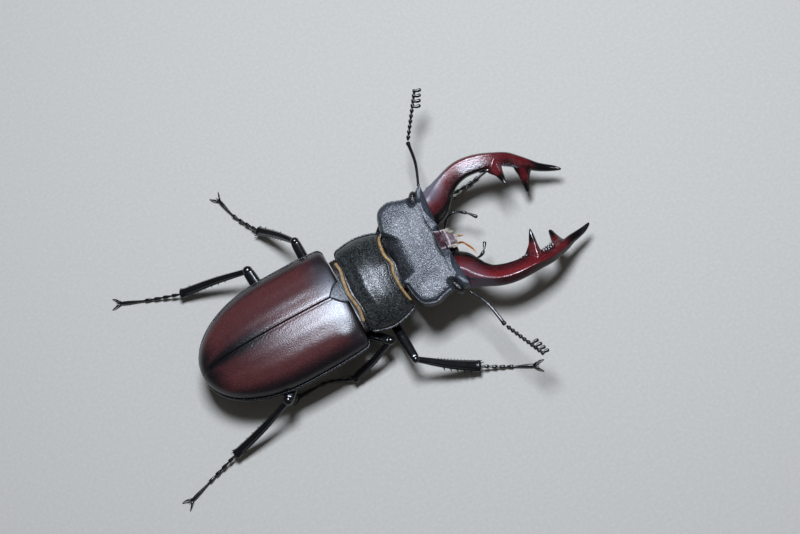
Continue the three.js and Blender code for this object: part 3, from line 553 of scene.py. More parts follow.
# Dome: margin height plus the rise times the root of one less t to the 2.4, t from the seam to the edge.
# The surface rolls over at the base, dips in a fine line at the seam and under the scutellum, and has a
# low shoulder, faint ribs along it and faint wrinkles beside the rear of the seam.
def wingTop(x, y, t):
    z = wingMargin(x) + wingRise(x) * ovalOf(t, wing["domePower"]) - 0.5 * rollOver(-x, 0.4)
    z -= 0.10 * np.exp(-(y - wing["seam"]) / 0.07) + 0.035 * bell(y, 0.42, 0.16)
    ribs = 0.022 * np.cos(2 * np.pi * 3.2 * t) * smooth(t, 0.1, 0.25) * (1 - smooth(t, 0.7, 0.9))
    ribs = ribs * smooth(-x, 2, 8) * (1 - smooth(-x, 22, 28))
    shoulder = 0.28 * bell(x, -3.0, 2.0) * bell(y, 8.3, 1.7)
    bent = 2.6 * np.sin(1.3 * x + 0.6 * y)
    wrinkles = 0.016 * np.sin(2 * np.pi * (0.8 * x + 1.3 * y) + bent) * (0.55 + 0.45 * np.sin(1.9 * x))
    wrinkles = wrinkles * bell(y, 0.95, 0.75) * smooth(-x, 9, 14) * (1 - smooth(-x, 22, 27))
    tip = -scutellum["length"]
    inside = smooth(scutellumHalf(x) + 0.16 - y, 0, 0.16) * smooth(x, tip - 0.15, tip)
    return z + ribs + wrinkles + shoulder - 0.5 * inside


def makeWing(side):
    rim, thick = wing["rimColumns"], wing["thick"]
    u = closeAtEnds(wing["rows"])
    x = -(wingLength - 1e-3) * u
    inner = -(wingLength - thick) * u
    half = wingHalf(x)
    rimWidth = wing["rim"] * np.minimum(1, half / 3)
    edge = np.maximum(0.05, half - rimWidth)
    t = np.sin(np.pi / 2 * np.linspace(0, 1, wing["domeColumns"]))
    y = blendOf(wing["seam"], edge, t)
    top = pointsOf(x, y, wingTop(x, y, t))
    # The bead along the margin: an arc from its inner foot over the top and down its outer side.
    a = np.radians(np.linspace(205, -80, rim))
    margin = wingMargin(x)
    bead = pointsOf(x, edge + rimWidth * (0.5 + 0.5 * np.cos(a)),
                    margin + rimWidth * (0.16 + 0.6 * np.sin(a)))
    # The inner side: the same dome a wall's thickness down, then a flap that folds up to the bead.
    close = np.maximum(0.05, edge * (1 - thick / (wing["half"] - wing["rim"])))
    vault = margin + wingRise(x) * ovalOf(t, wing["domePower"]) * (1 - thick / wing["ridge"]) - 0.05
    under = pointsOf(inner, blendOf(wing["seam"], close, t), np.minimum(vault, top[..., 2] - 0.06))
    fold = np.linspace(0.04, 1, rim)
    flap = pointsOf(blendOf(inner, x, fold), blendOf(close, edge + 0.62 * rimWidth, fold),
                    margin - rimWidth * 0.45 * fold ** 2)
    surface = closedPlate(np.concatenate([top, bead], axis=1), np.concatenate([under, flap], axis=1))
    # Tone: chestnut in the middle, black along margin, base and tip, and along the rear of the seam.
    x, y = surface[0][:, 0], surface[0][:, 1]
    outer = np.minimum(1, np.abs(y) / np.maximum(0.4, wingHalf(x)))
    back = -x / wingLength
    seamLine = bell(outer, 0, 0.012)
    dark = most(smooth(outer, 0.68, 0.96), 1.15 * bell(outer, 0, 0.15) * smooth(back, 0.35, 0.7),
                1.2 * seamLine, smooth(back, 0.82, 1.0), 0.85 * (1 - smooth(back, 0.0, 0.2)))
    tone = 0.95 - 0.95 * dark - 0.12 * bell(outer, 0.3, 0.12)
    # Painted sheen: a silvery grey over the base, strongest beside the scutellum.
    paintedSheen = 0.4 * (1 - smooth(back, 0.02, 0.2)) * (1 - 0.9 * smooth(outer, 0.2, 0.7)) * smooth(back, 0.0, 0.02)
    addPiece("wingCase" + side.title(), onSide(side, surface), wingHorn, ["elytron_" + side],
             tone, paintedSheen * (1 - seamLine))


for side in bothSides:
    makeWing(side)


# Scutellum: a low cushion, higher in the middle, its rim turned down into the wing cases.
def makeScutellum():
    u, v = column(0, 1, scutellum["rows"]), np.linspace(-1, 1, scutellum["columns"])
    x = blendOf(0.22, -scutellum["length"] + 0.02, 1 - (1 - u) ** 1.4)
    y = np.maximum(0.02, scutellumHalf(np.minimum(x, 0))) * v
    edge = np.maximum(np.abs(v) ** 6, u ** 10)
    z = wingMargin(x) + wingRise(x) - 0.22 * (np.abs(y) / scutellum["half"]) ** 2
    top = pointsOf(x, y, z + scutellum["rise"] * ovalOf(edge, 1))
    # Tone: darker towards the rim, painted shade in the groove where it turns down into the wing cases.
    tone = np.stack(2 * [1 - 0.8 * smooth(edge, 0.2, 0.8)])
    addPiece("scutellumPlate", closedPlate(top, top - [0, 0, 0.7]), headHorn, ["scutellum"], tone)


makeScutellum()
print("wing cases made")


shield = {
    "rear": 1.2, "front": 9.5, "corner": 1.25, "lobe": 0.55, "margin": 7.3, "rearLift": 0.7, "skew": 0.25,
    "beadFrom": 0.955, "rows": 180, "columns": 260,
    "half": readOff([(0, 7.4), (0.03, 8.3), (0.07, 8.8), (0.17, 9.15), (0.46, 9.62), (0.62, 9.45),
                     (0.87, 8.75), (1, 8.1)]),
    "rise": readOff([(0, 2.4), (0.2, 3.3), (0.4, 4.1), (0.54, 4.1), (0.8, 3.65), (1, 3.1)]),
}


# Front edge: a small lobe in the middle and corners that come forward. Rear edge: bowed back in the
# middle, drawn forward beside it. Both lie a little further forward on the left.
def shieldX(s, t):
    front = shield["front"] + shield["corner"] * np.abs(t) ** 4 + shield["lobe"] * bell(t, 0.05, 0.16)
    rear = shield["rear"] - 0.22 * bell(t, -0.05, 0.22) + 0.3 * bell(np.abs(t), 0.55, 0.2)
    return blendOf(rear, front, s) + shield["skew"] * t


# Height: margin plus the rise times one less t squared, to the power 0.6. Both ends roll over under a
# fine bead, the sides carry a rounder one, and two shallow dents and a faint furrow lie behind the middle.
def shieldTop(s, t):
    w, ends = np.abs(t), np.minimum(s, 1 - s)
    z = shield["margin"] + shield["rearLift"] * (1 - smooth(s, 0, 0.45))
    z = z + shield["rise"](s) * (1 - np.minimum(1, w / shield["beadFrom"]) ** 2) ** 0.6
    z += 0.22 * smooth(w, shield["beadFrom"], 0.975) * (1 - 0.9 * smooth(w, 0.985, 1.0))
    z += 0.1 * bell(ends, 0.026, 0.014) - 0.07 * bell(ends, 0.062, 0.016) - 0.5 * rollOver(ends, 0.02)
    z -= 0.06 * bell(w, 0.44, 0.16) * bell(s, 0.38, 0.18) + 0.05 * bell(w, 0.72, 0.14) * bell(s, 0.62, 0.16)
    return z - 0.04 * bell(t, 0, 0.025) * bell(s, 0.5, 0.3)


def makeShield():
    s = closeAtEnds(shield["rows"])
    t = np.sin(np.pi / 2 * np.linspace(-1, 1, shield["columns"]))
    x, y = shieldX(s, t), shield["half"](s) * t
    surface = closedPlate(pointsOf(x, y, shieldTop(s, t)), pointsOf(x, 0.985 * y, shield["margin"] - 0.3))
    addPiece("neckShield", surface, shieldHorn, ["pronotum"])


makeShield()


# Fringes: golden bristles in a close row that stand out from under the shield's front and rear edges.
fringe = {"count": 3000, "reach": 0.84, "frontLong": 0.58, "rearLong": 0.66, "width": 0.03, "seed": 7}


def makeFringe(name, end, long, seed):
    rng = np.random.default_rng(seed)
    count = fringe["count"]
    t = rng.uniform(-1, 1, count) * fringe["reach"]
    layer = rng.uniform(0, 1, count)
    s = np.full(count, end)
    ahead = 1.0 if end else -1.0
    height = shieldTop(blendOf(s, 0.5, 0.06), t) - 0.24 - 0.22 * layer
    roots = pointsOf(shieldX(s, t) - 0.1 * ahead, shield["half"](s) * t, height)
    lean = rng.normal(0, 0.22, (count, 3))
    out = pointsOf(ahead, 0.35 * t, 0.5 - 0.45 * layer)
    lengths = long * rng.uniform(0.75, 1.1, count)
    places = np.stack([0.05 + 0.9 * (t + 1) / 2, 0.3 + 0.4 * layer], axis=1)
    # Shade: palest in the middle, browner towards the sides, in clumps.
    clumps = 0.8 + 0.2 * np.sin(31 * t + 2 * np.sin(13 * t))
    shade = (1.1 - 0.45 * np.abs(t) ** 1.5) * clumps * rng.uniform(0.7, 1.1, count)
    growBristles(name, roots, unit(out + lean), lengths, pointsOf(0 * t, 0, -0.25), places, goldenBristle,
                 fringe["width"], shade)


makeFringe("fringeFront", 1.0, fringe["frontLong"], fringe["seed"])
makeFringe("fringeRear", 0.0, fringe["rearLong"], fringe["seed"] + 1)
print("neck shield made")


body = {
    "depth": 4.7, "tailFrom": 16.0, "rows": 240, "half": 72, "segments": 5, "front": -0.02, "split": -10.6,
    "rear": -27.4, "gap": 0.3,
}
tailLength = wingLength - wing["rim"] - wing["thick"] - body["gap"]


# Trunk under the wing cases: its back follows their dome a wall's thickness below it, its belly is half an
# oval. Each segment of the belly flares to its rear edge and steps in again, as plates that overlap.
# A trunk without segments has a fine groove along the middle of its belly.
def makeTrunk(name, node, front, rear, segments, rows):
    x = column(front, rear, rows)
    shrunk = x * wingLength / tailLength
    wall = wing["thick"] + body["gap"] + 0.1
    outline = np.minimum(wingHalf(x), wingHalf(shrunk)) - wing["rim"]
    half = np.maximum(0.05, outline * (1 - wall / (wing["half"] - wing["rim"])))
    rise = np.minimum(wingRise(x), wingRise(shrunk)) * (1 - wing["thick"] / wing["ridge"]) - body["gap"] - 0.1
    along = (x - front) / (rear - front)
    step = 0.16 * ((segments * along) % 1.0) ** 1.5 - 0.16 if segments else 0.0
    belly = body["depth"] * ovalOf(part(-x, body["tailFrom"], tailLength), 2.2, 0.002) + step
    a = anglesOf(2 * body["half"])
    t = np.cos(a)
    back = np.maximum(0.05, rise) * ovalOf(t, wing["domePower"])
    under = -belly * np.abs(np.sin(a)) ** 0.85
    if not segments:
        under += 0.35 * bell(t, 0, 0.05) * smooth(along, 0.1, 0.3)
    rings = pointsOf(x, half * t, wingMargin(x) + np.where(np.arange(len(a)) <= body["half"], back, under))
    addPiece(name, closedTube(rings), bellyHorn, [node])


makeTrunk("hindBreast", "metathorax", body["front"], body["split"], 0, 90)
makeTrunk("abdomenRings", "abdomen", body["split"] - body["gap"], body["rear"], body["segments"],
          body["rows"])

collars = {
    "waist": {"ends": (0.15, 1.6), "half": 7.9, "up": 1.3, "down": 3.6, "middle": (0.0, 7.2), "folds": 3},
    "neck": {"ends": (9.0, 12.2), "half": 5.3, "up": 2.2, "down": 2.75, "middle": (0.2, 7.0), "folds": 2},
}

# Waist and neck: short oval collars of soft skin between the hard plates, pinched in by a row of folds.
for node, collar in collars.items():
    t, a = column(0, 1, 28), anglesOf(120)
    pinch = 1 - 0.025 * np.abs(np.sin(np.pi * collar["folds"] * t))
    tall = np.where(np.sin(a) > 0, collar["up"], collar["down"])
    rings = pointsOf(blendOf(*collar["ends"], t), collar["middle"][0] + collar["half"] * pinch * np.cos(a),
                     collar["middle"][1] + tall * pinch * np.sin(a))
    addPiece(node + "Collar", closedTube(rings), bellyHorn, [node])


# Breast: the trough of horn under the neck shield, half an oval with a keel between the fore legs.
def makeBreast():
    s, a = column(0, 1, 90), np.linspace(0, np.pi, 120)
    deep = 3.4 - 0.5 * s + 0.25 * bell(a, np.pi / 2, 0.9) * np.cos(2 * np.pi * s)
    keel = 0.5 * bell(np.cos(a), 0, 0.1) * bell(s, 0.35, 0.3)
    rings = pointsOf(blendOf(shield["rear"] + 0.1, shield["front"], s), (shield["half"](s) - 0.9) * np.cos(a),
                     shield["margin"] - 0.6 - deep * np.sin(a) ** 0.8 - keel)
    addPiece("breast", closedTube(rings), bellyHorn, ["prosternum"])


makeBreast()
print("underside made")


head = {
    "turn": -2.2, "neckPoint": [11.0, 0.4, 0.0], "rear": -0.7, "length": 9.3, "half": 10.4, "stub": 5.2,
    "edge": 9.8, "crown": 1.45, "depth": 5.7, "rimInset": 0.26, "bayFront": 3.7, "bayDrop": 1.5,
    "bayLeft": 3.6, "bayRight": -3.85, "rows": 230, "topColumns": 300, "underColumns": 120,
}


# A surface from the head's own frame, turned about the neck, to the beetle's.
def onHead(surface):
    return moved(surface, inHeadFrame)


def inHeadFrame(points):
    return turned(points, head["turn"]) + head["neckPoint"]


# Half width: a stub towards the neck, rounded rear lobes, a swelling behind the cheeks, a flare in front.
def headHalf(x):
    lobes = ovalOf(part(x, 2.8, -0.45), 4.5)
    swell = head["half"] + 0.75 * bell(x, 3.4, 1.8) - 0.2 * bell(x, 7.0, 1.2)
    return np.maximum(head["stub"], lobes * swell + 0.8 * smooth(x, 7.6, 9.4))


# How far a point of the top lies inside the outline, square to it.
def headInset(x, y):
    slope = (headHalf(x + 0.01) - headHalf(x - 0.01)) / 0.02
    slope = slope * smooth(np.abs(y), head["stub"] - 0.3, head["stub"] + 0.4)
    return (headHalf(x) - np.abs(y)) / np.sqrt(1 + slope ** 2)


# The front edge bows: forward beside the mouth, back round the jaws, and forward at the eye ridges.
def frontBow(x, y):
    w = np.abs(y)
    bow = 0.45 * bell(w, 3.0, 1.0) - 0.35 * bell(w, 6.4, 1.7) + 0.9 * smooth(w, 7.9, 10.2)
    return bow * smooth(x, 6.8, head["length"])


# The rear edge of the bay runs aslant, further back on the right.
def rearSlant(x, y):
    return (0.25 + np.clip(0.26 * (y + 3.3), 0, 1.1)) * inBay(0.5, y) * (1 - smooth(x, -0.5, 2.0))


# How much a point lies in the bay behind the crest: its left end is slanted, its right end sharp.
def inBay(x, y):
    left = head["bayLeft"] + (2.0 - x)
    right = head["bayRight"] - 0.2 * (1.9 - x)
    return smooth(left - y, -0.7, 1.1) * smooth(y - right, -0.5, 0.9)


# How far a point lies in front of the line where the brow steps down to the lip plate: that line is
# furthest forward a little left of the middle.
def pastBrow(x, y):
    bends = 0.33 * bell(y, 1.5, 1.3) - 0.1 * bell(y, 3.9, 0.8) - 0.2 * bell(y, -1.6, 1.0)
    return x - (8.2 + bends + 0.2 * smooth(y, 4.5, 7.0))


# Where the brow's step is sharp: across the middle, and hardly to the sides.
def browSharp(y):
    return smooth(y, -4.6, -2.2) * (1 - smooth(y, 2.4, 5.2))


# How much a point lies in the hollow round the eye, whose long axis leans forwards on the outer side.
def inSocket(x, w):
    return np.exp(-((np.hypot(x - 7.85 - 0.3 * (w - 9.3), (w - 9.5) / 1.6) / 0.9) ** 4))


# Ridge over the eye: how much a point lies within 0.7 of the line from its foot to the outer corner.
def onEyeRidge(x, w):
    foot, run = (8.5, 7.9), (1.5, 2.7)
    along = np.clip(((x - foot[0]) * run[0] + (w - foot[1]) * run[1]) / (run[0] ** 2 + run[1] ** 2), 0, 1)
    away = np.hypot(x - foot[0] - run[0] * along, w - foot[1] - run[1] * along)
    return np.exp(-((away / 0.7) ** 4)) * smooth(along, 0.0, 0.3)


# Height: a crown that sinks a little forwards, with rounded borders, less the slope into the bay, the step
# at the brow and the slope to the mouth, plus the lobes, the beads and the eye ridges.
def headTop(x, y, inset):
    w = np.abs(y)
    crown = head["crown"] + 0.3 * bell(w, 6.8, 2.2) * bell(x, 3.6, 2.4) - 0.08 * np.clip(x - 3, -1, 6)
    crown = crown - 0.25 * bell(x, 5.6, 1.8) * bell(y, 0.5, 4.0)
    crown = crown - head["bayDrop"] * inBay(x, y) * np.clip((head["bayFront"] - x) / 3.7, 0, 1.1) ** 2.2
    crown = crown - 1.2 * smooth(-0.1 - x, 0, 0.5) * (1 - inBay(x, y))
    past, sharp = pastBrow(x, y), browSharp(y)
    step = (0.03 + 0.5 * sharp) * smooth(past, -0.03, blendOf(0.25, 0.15, sharp)) * (1 - smooth(w, 7.4, 8.6))
    brow = (0.03 + 0.05 * sharp) * bell(past, -0.14, 0.13) * (1 - smooth(w, 6.5, 8.0))
    mouthward = 0.83 * (1 - smooth(w, 1.9, 2.7)) * np.clip(past - 0.15, 0, 2)
    toFront = head["length"] + frontBow(head["length"], y) - x
    frontBead = 0.045 * bell(toFront, 0.24, 0.16) * smooth(w, 2.6, 3.4)
    bevel = 0.2 * rollOver(toFront, 0.15) * smooth(w, 1.6, 2.6)
    crown = crown - step + brow - mouthward + frontBead - bevel + 0.6 * onEyeRidge(x, w) - inSocket(x, w)
    border = ovalOf(part(inset, blendOf(1.8, 0.7, smooth(x, 7.9, 8.8)), 0), 2.2)
    rim = 0.16 * bell(inset, head["rimInset"], 0.13) - 0.08 * bell(inset, head["rimInset"] + 0.36, 0.2)
    return head["edge"] + crown * border + rim * smooth(w, 4.2, 5.4) * (1 - smooth(x, 6.4, 7.2))


# Tone, most of it painted light. Painted shade: black in the bay, at the brow's step, on the side wall
# outside the rim, underneath, and round the eyes, there partly the eyes' own black. Painted highlight: palest
# on the eye ridges and the strip in front of the brow.
def headTone(x, y, z):
    past, sharp, w = pastBrow(x, y), browSharp(y), np.abs(y)
    # Painted shade in the bay behind the crest, a little lighter along its rear edge.
    bayShade = inBay(x, y) * smooth(3.0 - x, 0.0, 1.8) * (1 - 0.5 * bell(x - rearSlant(x, y), -0.5, 0.2))
    # Painted shadow along the brow's step.
    step = bell(past, 0.05, 0.08 + 0.12 * sharp) * (0.75 + 0.25 * sharp) * (1 - smooth(w, 7.2, 8.0))
    # Painted shade on the side wall outside the rim.
    wallShade = (1 - smooth(headInset(x, y), 0.04, 0.2)) * (1 - smooth(x, 7.0, 8.0))
    # Painted shade under the edge, and round the eyes, there partly the eyes' own black.
    dark = most(bayShade, step, wallShade, smooth(head["edge"] - z, 0.0, 0.3), inSocket(x, w))
    # Painted highlight on the eye ridges, and on the strip in front of the brow.
    ridge = smooth(x, 8.4, 9.0) * smooth(w, 7.4, 8.4)
    return (0.6 + 0.35 * smooth(past, 0.1, 0.4) + 0.3 * ridge) * (1 - dark)


# Each ring of the head is its top from left to right, then its underside back: a flattened half oval whose
# depth grows behind and shrinks in front, with a low throat.
def makeHead():
    x = blendOf(head["rear"], head["length"], column(0, 1, head["rows"]) ** 1.3)
    half = headHalf(x)
    y = half * np.cos(np.linspace(0, np.pi, head["topColumns"]))
    ahead = x + frontBow(x, y) + rearSlant(x, y)
    top = pointsOf(ahead, y, headTop(ahead, y, headInset(x, y)))
    b = np.linspace(np.pi, 0, head["underColumns"] + 2)[1:-1]
    depth = head["depth"] * blendOf(0.8, 1, smooth(x, -0.4, 3))
    depth = depth * blendOf(1, 0.9, smooth(x, 7, head["length"]))
    throat = 0.3 * bell(np.cos(b), 0, 0.12) * smooth(x, 3, 6)
    y = half * (0.985 - 0.03 * np.sin(b)) * np.cos(b)
    under = pointsOf(x + frontBow(x, y), y, head["edge"] - depth * np.sin(b) ** 0.95 - throat)
    surface = closedTube(np.concatenate([top, under], axis=1))
    addPiece("headCapsule", onHead(surface), headHorn, ["head"], headTone(*surface[0].T))


makeHead()

# Eye: an oval ball let into the side of the head behind the eye ridge, its long axis leaning forwards.
eye = {"centre": [7.95, 9.5, 9.25], "radii": [0.9, 1.75, 1.3], "lean": -20}
leaning = lambda points: turned(points, eye["lean"]) + eye["centre"]
shell = moved(ball([0, 0, 0], eye["radii"], 72, 48), leaning)
for side in bothSides:
    addPiece("eye" + side.title(), onHead(onSide(side, shell)), eyeHorn, ["eye_" + side])
print("head made")


mouth = {
    "middle": -0.05, "clypeusFrom": 8.5, "clypeusTo": 10.75, "clypeusHalf": 2.05, "lipFrom": 10.3,
    "lipTo": 12.0, "lipHalf": 1.8, "headEdge": 9.3, "tuftHairs": 60, "hairWidth": 0.035, "seed": 21,
}


# Clypeus: the thin plate between brow and lip, lying on the head and curling down at its front edge, with a
# raised pale border and two dimples.
def makeClypeus():
    u, v = column(0, 1, 60), np.linspace(-1, 1, 90)
    x = blendOf(mouth["clypeusFrom"], mouth["clypeusTo"] - 0.25 * v ** 2 + 0.1 * v, u)
    y = mouth["middle"] + mouth["clypeusHalf"] * (1 - 0.1 * u) * v
    edge = np.maximum(np.abs(v) ** 10, u ** 8)
    border = np.maximum(bell(np.abs(v), 0.86, 0.12), bell(u, 0.88, 0.1))
    z = headTop(np.minimum(x, mouth["headEdge"]), y, 5.0) - 0.42 * np.clip(x - mouth["headEdge"], 0, 2)
    z = z + 0.08 * (1 - edge) + 0.05 * border - 0.12 * bell(np.abs(v), 0.45, 0.22) * bell(u, 0.55, 0.25)
    top = pointsOf(x, y, z - 0.22 * edge)
    tone = np.stack(np.broadcast_arrays(0.22 + 0.6 * border + 0.1 * smooth(u, 0, 0.5), 0.25))
    surface = closedPlate(top, top - pointsOf(0, 0, 0.35 + 0.4 * u))
    addPiece("clypeus", onHead(surface), lipHorn, (), tone)


# Lip: a tongue-shaped plate, its half width a power curve, with two low swellings, drooping to its tip.
def lipPoint(u, v):
    x = blendOf(mouth["lipFrom"], mouth["lipTo"] - 0.7 * v ** 2, u)
    y = mouth["middle"] + mouth["lipHalf"] * (1 - 0.5 * u ** 2.2) * v - 0.35 * u
    swellings = 0.22 * bell(np.abs(v), 0.5, 0.22) * bell(u, 0.6, 0.3)
    return pointsOf(x, y, 8.95 - 0.9 * u - 0.35 * v ** 2 + swellings)


def makeLip():
    u, v = column(0, 1, 60), np.linspace(-1, 1, 80)
    top = lipPoint(u, v) - pointsOf(0, 0, 0.2 * np.maximum(np.abs(v) ** 8, u ** 8))
    under = top - pointsOf(0, 0.06 * v, 0.75 - 0.4 * u)
    tone = np.stack(np.broadcast_arrays(0.55 + 0.4 * bell(u, 0.9, 0.1) + 0 * v, 0.3))
    addPiece("lip", onHead(closedPlate(top, under)), lipHorn, ["labrum"], tone)
    rng = np.random.default_rng(mouth["seed"])
    # Hairs: a dense tuft at each corner of the lip and a thin row along its front edge.
    n = mouth["tuftHairs"]
    u = np.concatenate([rng.uniform(low, high, n) for low, high in ((0.05, 0.75), (0.05, 0.6), (0.9, 1))])
    v = np.concatenate([rng.uniform(low, high, n) for low, high in ((0.75, 1), (-1, -0.75), (-0.8, 0.8))])
    ways = unit(pointsOf(0.8, 0.75 * v, 0.25) + rng.normal(0, 0.25, (3 * n, 3)))
    lengths = np.concatenate([rng.uniform(0.5, 1.0, 2 * n), rng.uniform(0.25, 0.5, n)])
    places = np.stack([0.05 + 0.9 * u, 0.5 + 0.45 * v], axis=1)
    growBristles("lipHairs", inHeadFrame(lipPoint(u, v) - [0, 0, 0.12]), ways, lengths,
                 pointsOf(0.2, -0.1 * v, -0.3), places, paleBristle, mouth["hairWidth"])


makeClypeus()
makeLip()

# Chin: a plate of horn under the mouth, and the two brushes of long orange hair that lap up sap.
chin = {
    "plate": [[9.7, 0, 5.1], [10.5, 0, 5.0], [11.4, 0, 4.85]], "half": 2.5, "tall": 0.65,
    "brushes": [
        [[10.7, -0.7, 5.3], [12.1, -0.6, 5.7], [13.1, -1.8, 5.8], [13.7, -3.2, 5.8], [13.9, -4.2, 5.7]],
        [[10.7, 0.7, 5.3], [12.0, 0.8, 5.6], [13.3, 0.2, 5.7]]],
    "hairs": 150, "seed": 22,
}


def makeChin():
    half, tall = (lambda t, size=chin[key]: size * roundEnds(t, 0.1, 0.3) for key in ("half", "tall"))
    addPiece("chin", onHead(sweep(chin["plate"], half, tall, 60, 30)), bellyHorn, ["mentum"])
    rng = np.random.default_rng(chin["seed"])
    n, last = chin["hairs"], 199
    for number, route in enumerate(chin["brushes"]):
        # Each hair starts at a place along the route and bends to a place further on.
        line, ahead = followRoute(route, last + 1)
        start = (rng.uniform(0, 0.72, n) * last).astype(int)
        roots = line[start] + rng.normal(0, 0.07, (n, 3))
        ways = unit(ahead[start] + rng.normal(0, 0.07, (n, 3)))
        reach = np.minimum(last, start + (rng.uniform(0.2, 0.32, n) * last).astype(int))
        lengths = np.linalg.norm(line[reach] - line[start], axis=1)
        droops = (line[reach] - line[start]) / lengths[:, None] - ways
        places = np.stack([0.05 + 0.9 * start / last, rng.uniform(0.3, 0.7, n)], axis=1)
        growBristles(f"tongueBrush{number + 1}", inHeadFrame(roots), ways, lengths, droops, places,
                     orangeBristle, mouth["hairWidth"])


makeChin()

# Palp: a string of club-shaped joints beside the mouth.
palps = {
    "joints": 4, "thin": 0.17, "thick": 0.33, "full": 0.85,
    "left": [[10.35, 3.0, 5.2], [12.2, 4.9, 5.7], [13.9, 5.1, 5.8], [15.6, 4.0, 5.7], [17.1, 2.3, 5.5]],
    "right": [[10.35, -2.7, 5.0], [12.2, -3.9, 5.3], [13.8, -4.8, 5.5], [15.0, -4.4, 5.6], [16.2, -2.6, 5.5]],
}
for side in bothSides:
    beads = beadString(palps[side], palps["joints"], palps["thin"], palps["thick"], 18, palps["full"])
    addPiece("palp" + side.title(), onHead(beads), legHorn, ["palp_" + side])
print("mouth made")


jaw = {
    "turn": -6.4, "shift": 0.65, "pivot": [10.5, 8.0, 0.0],
    "start": [8.9, 6.35, 7.15], "reach": {"left": 0.33, "right": -0.3}, "voxel": 0.075, "smoothing": 3,
    "topFace": {"left": 103, "right": 112, "far": 0.64, "footFar": 0.8, "footTurn": 22},
    "route": [[10.2, 6.6, 7.5], [11.4, 7.35, 7.5], [12.6, 8.5, 7.7], [13.6, 9.35, 7.95],
              [15.4, 10.45, 8.3], [17.5, 11.15, 8.6], [19.5, 11.3, 8.6], [21.5, 11.15, 8.5],
              [23.8, 10.85, 8.1], [26.0, 10.5, 7.4], [27.6, 9.8, 6.5], [29.2, 8.95, 5.5],
              [30.8, 7.95, 4.75], [32.3, 7.3, 4.25], [33.6, 6.75, 4.05], [34.95, 5.98, 4.1]],
    "greatTooth": [[23.1, 10.8, 7.8], [23.5, 9.2, 8.2], [23.9, 7.9, 8.6], [24.2, 6.5, 9.0],
                   [24.45, 4.95, 9.4]],
    "forkTooth": [[28.6, 9.0, 5.0], [28.3, 7.7, 4.6], [28.05, 6.35, 4.2], [27.85, 5.1, 3.8],
                  [27.7, 4.25, 3.5]],
    "faces": [[30, 0.9], [-35, 0.95], [-95, 0.85], [178, 0.98], [215, 0.95]], "sharpness": 7,
    "keelAngle": 58, "keelRise": 0.04, "denticles": 6, "bumps": 3, "bloom": {"left": 0.8, "right": 0.3},
}
# Half width and half height along the shaft, and the half widths of the two teeth.
jawHalf = readOff([(0, 3.9), (0.09, 3.75), (0.144, 3.0), (0.19, 2.48), (0.255, 2.12), (0.34, 2.05),
                   (0.476, 1.86), (0.556, 1.62), (0.636, 1.4), (0.7, 1.24), (0.766, 1.06), (0.836, 0.86),
                   (0.895, 0.72), (0.945, 0.56), (1, 0.2)])
jawTall = readOff([(0, 2.3), (0.1, 2.0), (0.2, 1.65), (0.45, 1.5), (0.556, 1.35), (0.636, 1.2), (0.7, 1.05),
                   (0.766, 0.95), (0.836, 0.78), (0.895, 0.66), (0.945, 0.52), (1, 0.2)])
greatHalf = readOff([(0, 1.9), (0.27, 1.55), (0.36, 1.3), (0.56, 0.8), (0.73, 0.57), (0.9, 0.3), (1, 0.08)])
forkHalf = readOff([(0, 1.9), (0.18, 1.5), (0.34, 1.1), (0.5, 0.85), (0.7, 0.62), (0.85, 0.46), (0.94, 0.34),
                    (1, 0.15)])


# Section of a jaw: a polygon with soft corners. Its faces lie at given angles and distances from the
# middle, and its radius is one over the root-sum of their powers. A fine keel runs along one corner.
def jawFaces(a, top, topFar):
    faces = [[top, topFar]] + jaw["faces"]
    near = sum(np.maximum(0, np.cos(a - np.radians(angle)) / far) ** jaw["sharpness"] for angle, far in faces)
    return near ** (-1 / jaw["sharpness"]) + jaw["keelRise"] * bell(a, math.radians(jaw["keelAngle"]), 0.12)


# At the foot the top face stands higher and turns inwards, and past the great tooth the polygon fades out.
def jawShape(t, a, top):
    turnedIn = top + jaw["topFace"]["footTurn"] * (1 - smooth(t, 0.1, 0.36))
    topFar = blendOf(jaw["topFace"]["footFar"], jaw["topFace"]["far"], smooth(t, 0.06, 0.24))
    return 1 + (1 - smooth(t, 0.66, 0.85)) * (jawFaces(a, turnedIn, topFar) - 1)


# Root and tip of one of the denticles that stand in a row between the great tooth and the fork.
def denticle(i, reach):
    root = reach + [24.95 + 0.48 * i, 10.0 - 0.2 * i, 7.9 - 0.2 * i]
    return [root, root + [0.0, -0.98, 0.35]]


# A jaw's shaft, its great tooth, the second tine of its fork, its denticles and low bumps before the tooth.
def jawParts(reach, top):
    forward = lambda points: np.array(points) + reach
    rounded = lambda size, last: lambda t: size(t) * roundEnds(t, 0, last)
    great, fork = rounded(greatHalf, 0.02), rounded(forkHalf, 0.05)
    shaft = [jaw["start"], *forward(jaw["route"])]
    parts = [
        sweep(shaft, rounded(jawHalf, 0.012), rounded(jawTall, 0.012), 96, 320,
              lambda t, a: jawShape(t, a, top), 1.0),
        sweep(forward(jaw["greatTooth"]), great, lambda t: (0.68 + 0.2 * t) * great(t), 56, 90,
              lambda t, a: blendOf(jawFaces(a, 108, jaw["topFace"]["far"]), 1, smooth(t, 0.5, 0.9))),
        sweep(forward(jaw["forkTooth"]), fork, lambda t: 0.75 * fork(t), 40, 70)]
    parts += [spine(denticle(i, reach), 0.27, 1.0, 16, 12, 0.5, 0.08) for i in range(jaw["denticles"])]
    parts += [ball(reach + [20.9 + 0.6 * i, 9.5 - 0.15 * i, 8.4], [0.32, 0.3, 0.3], 20, 16)
              for i in range(jaw["bumps"])]
    return parts
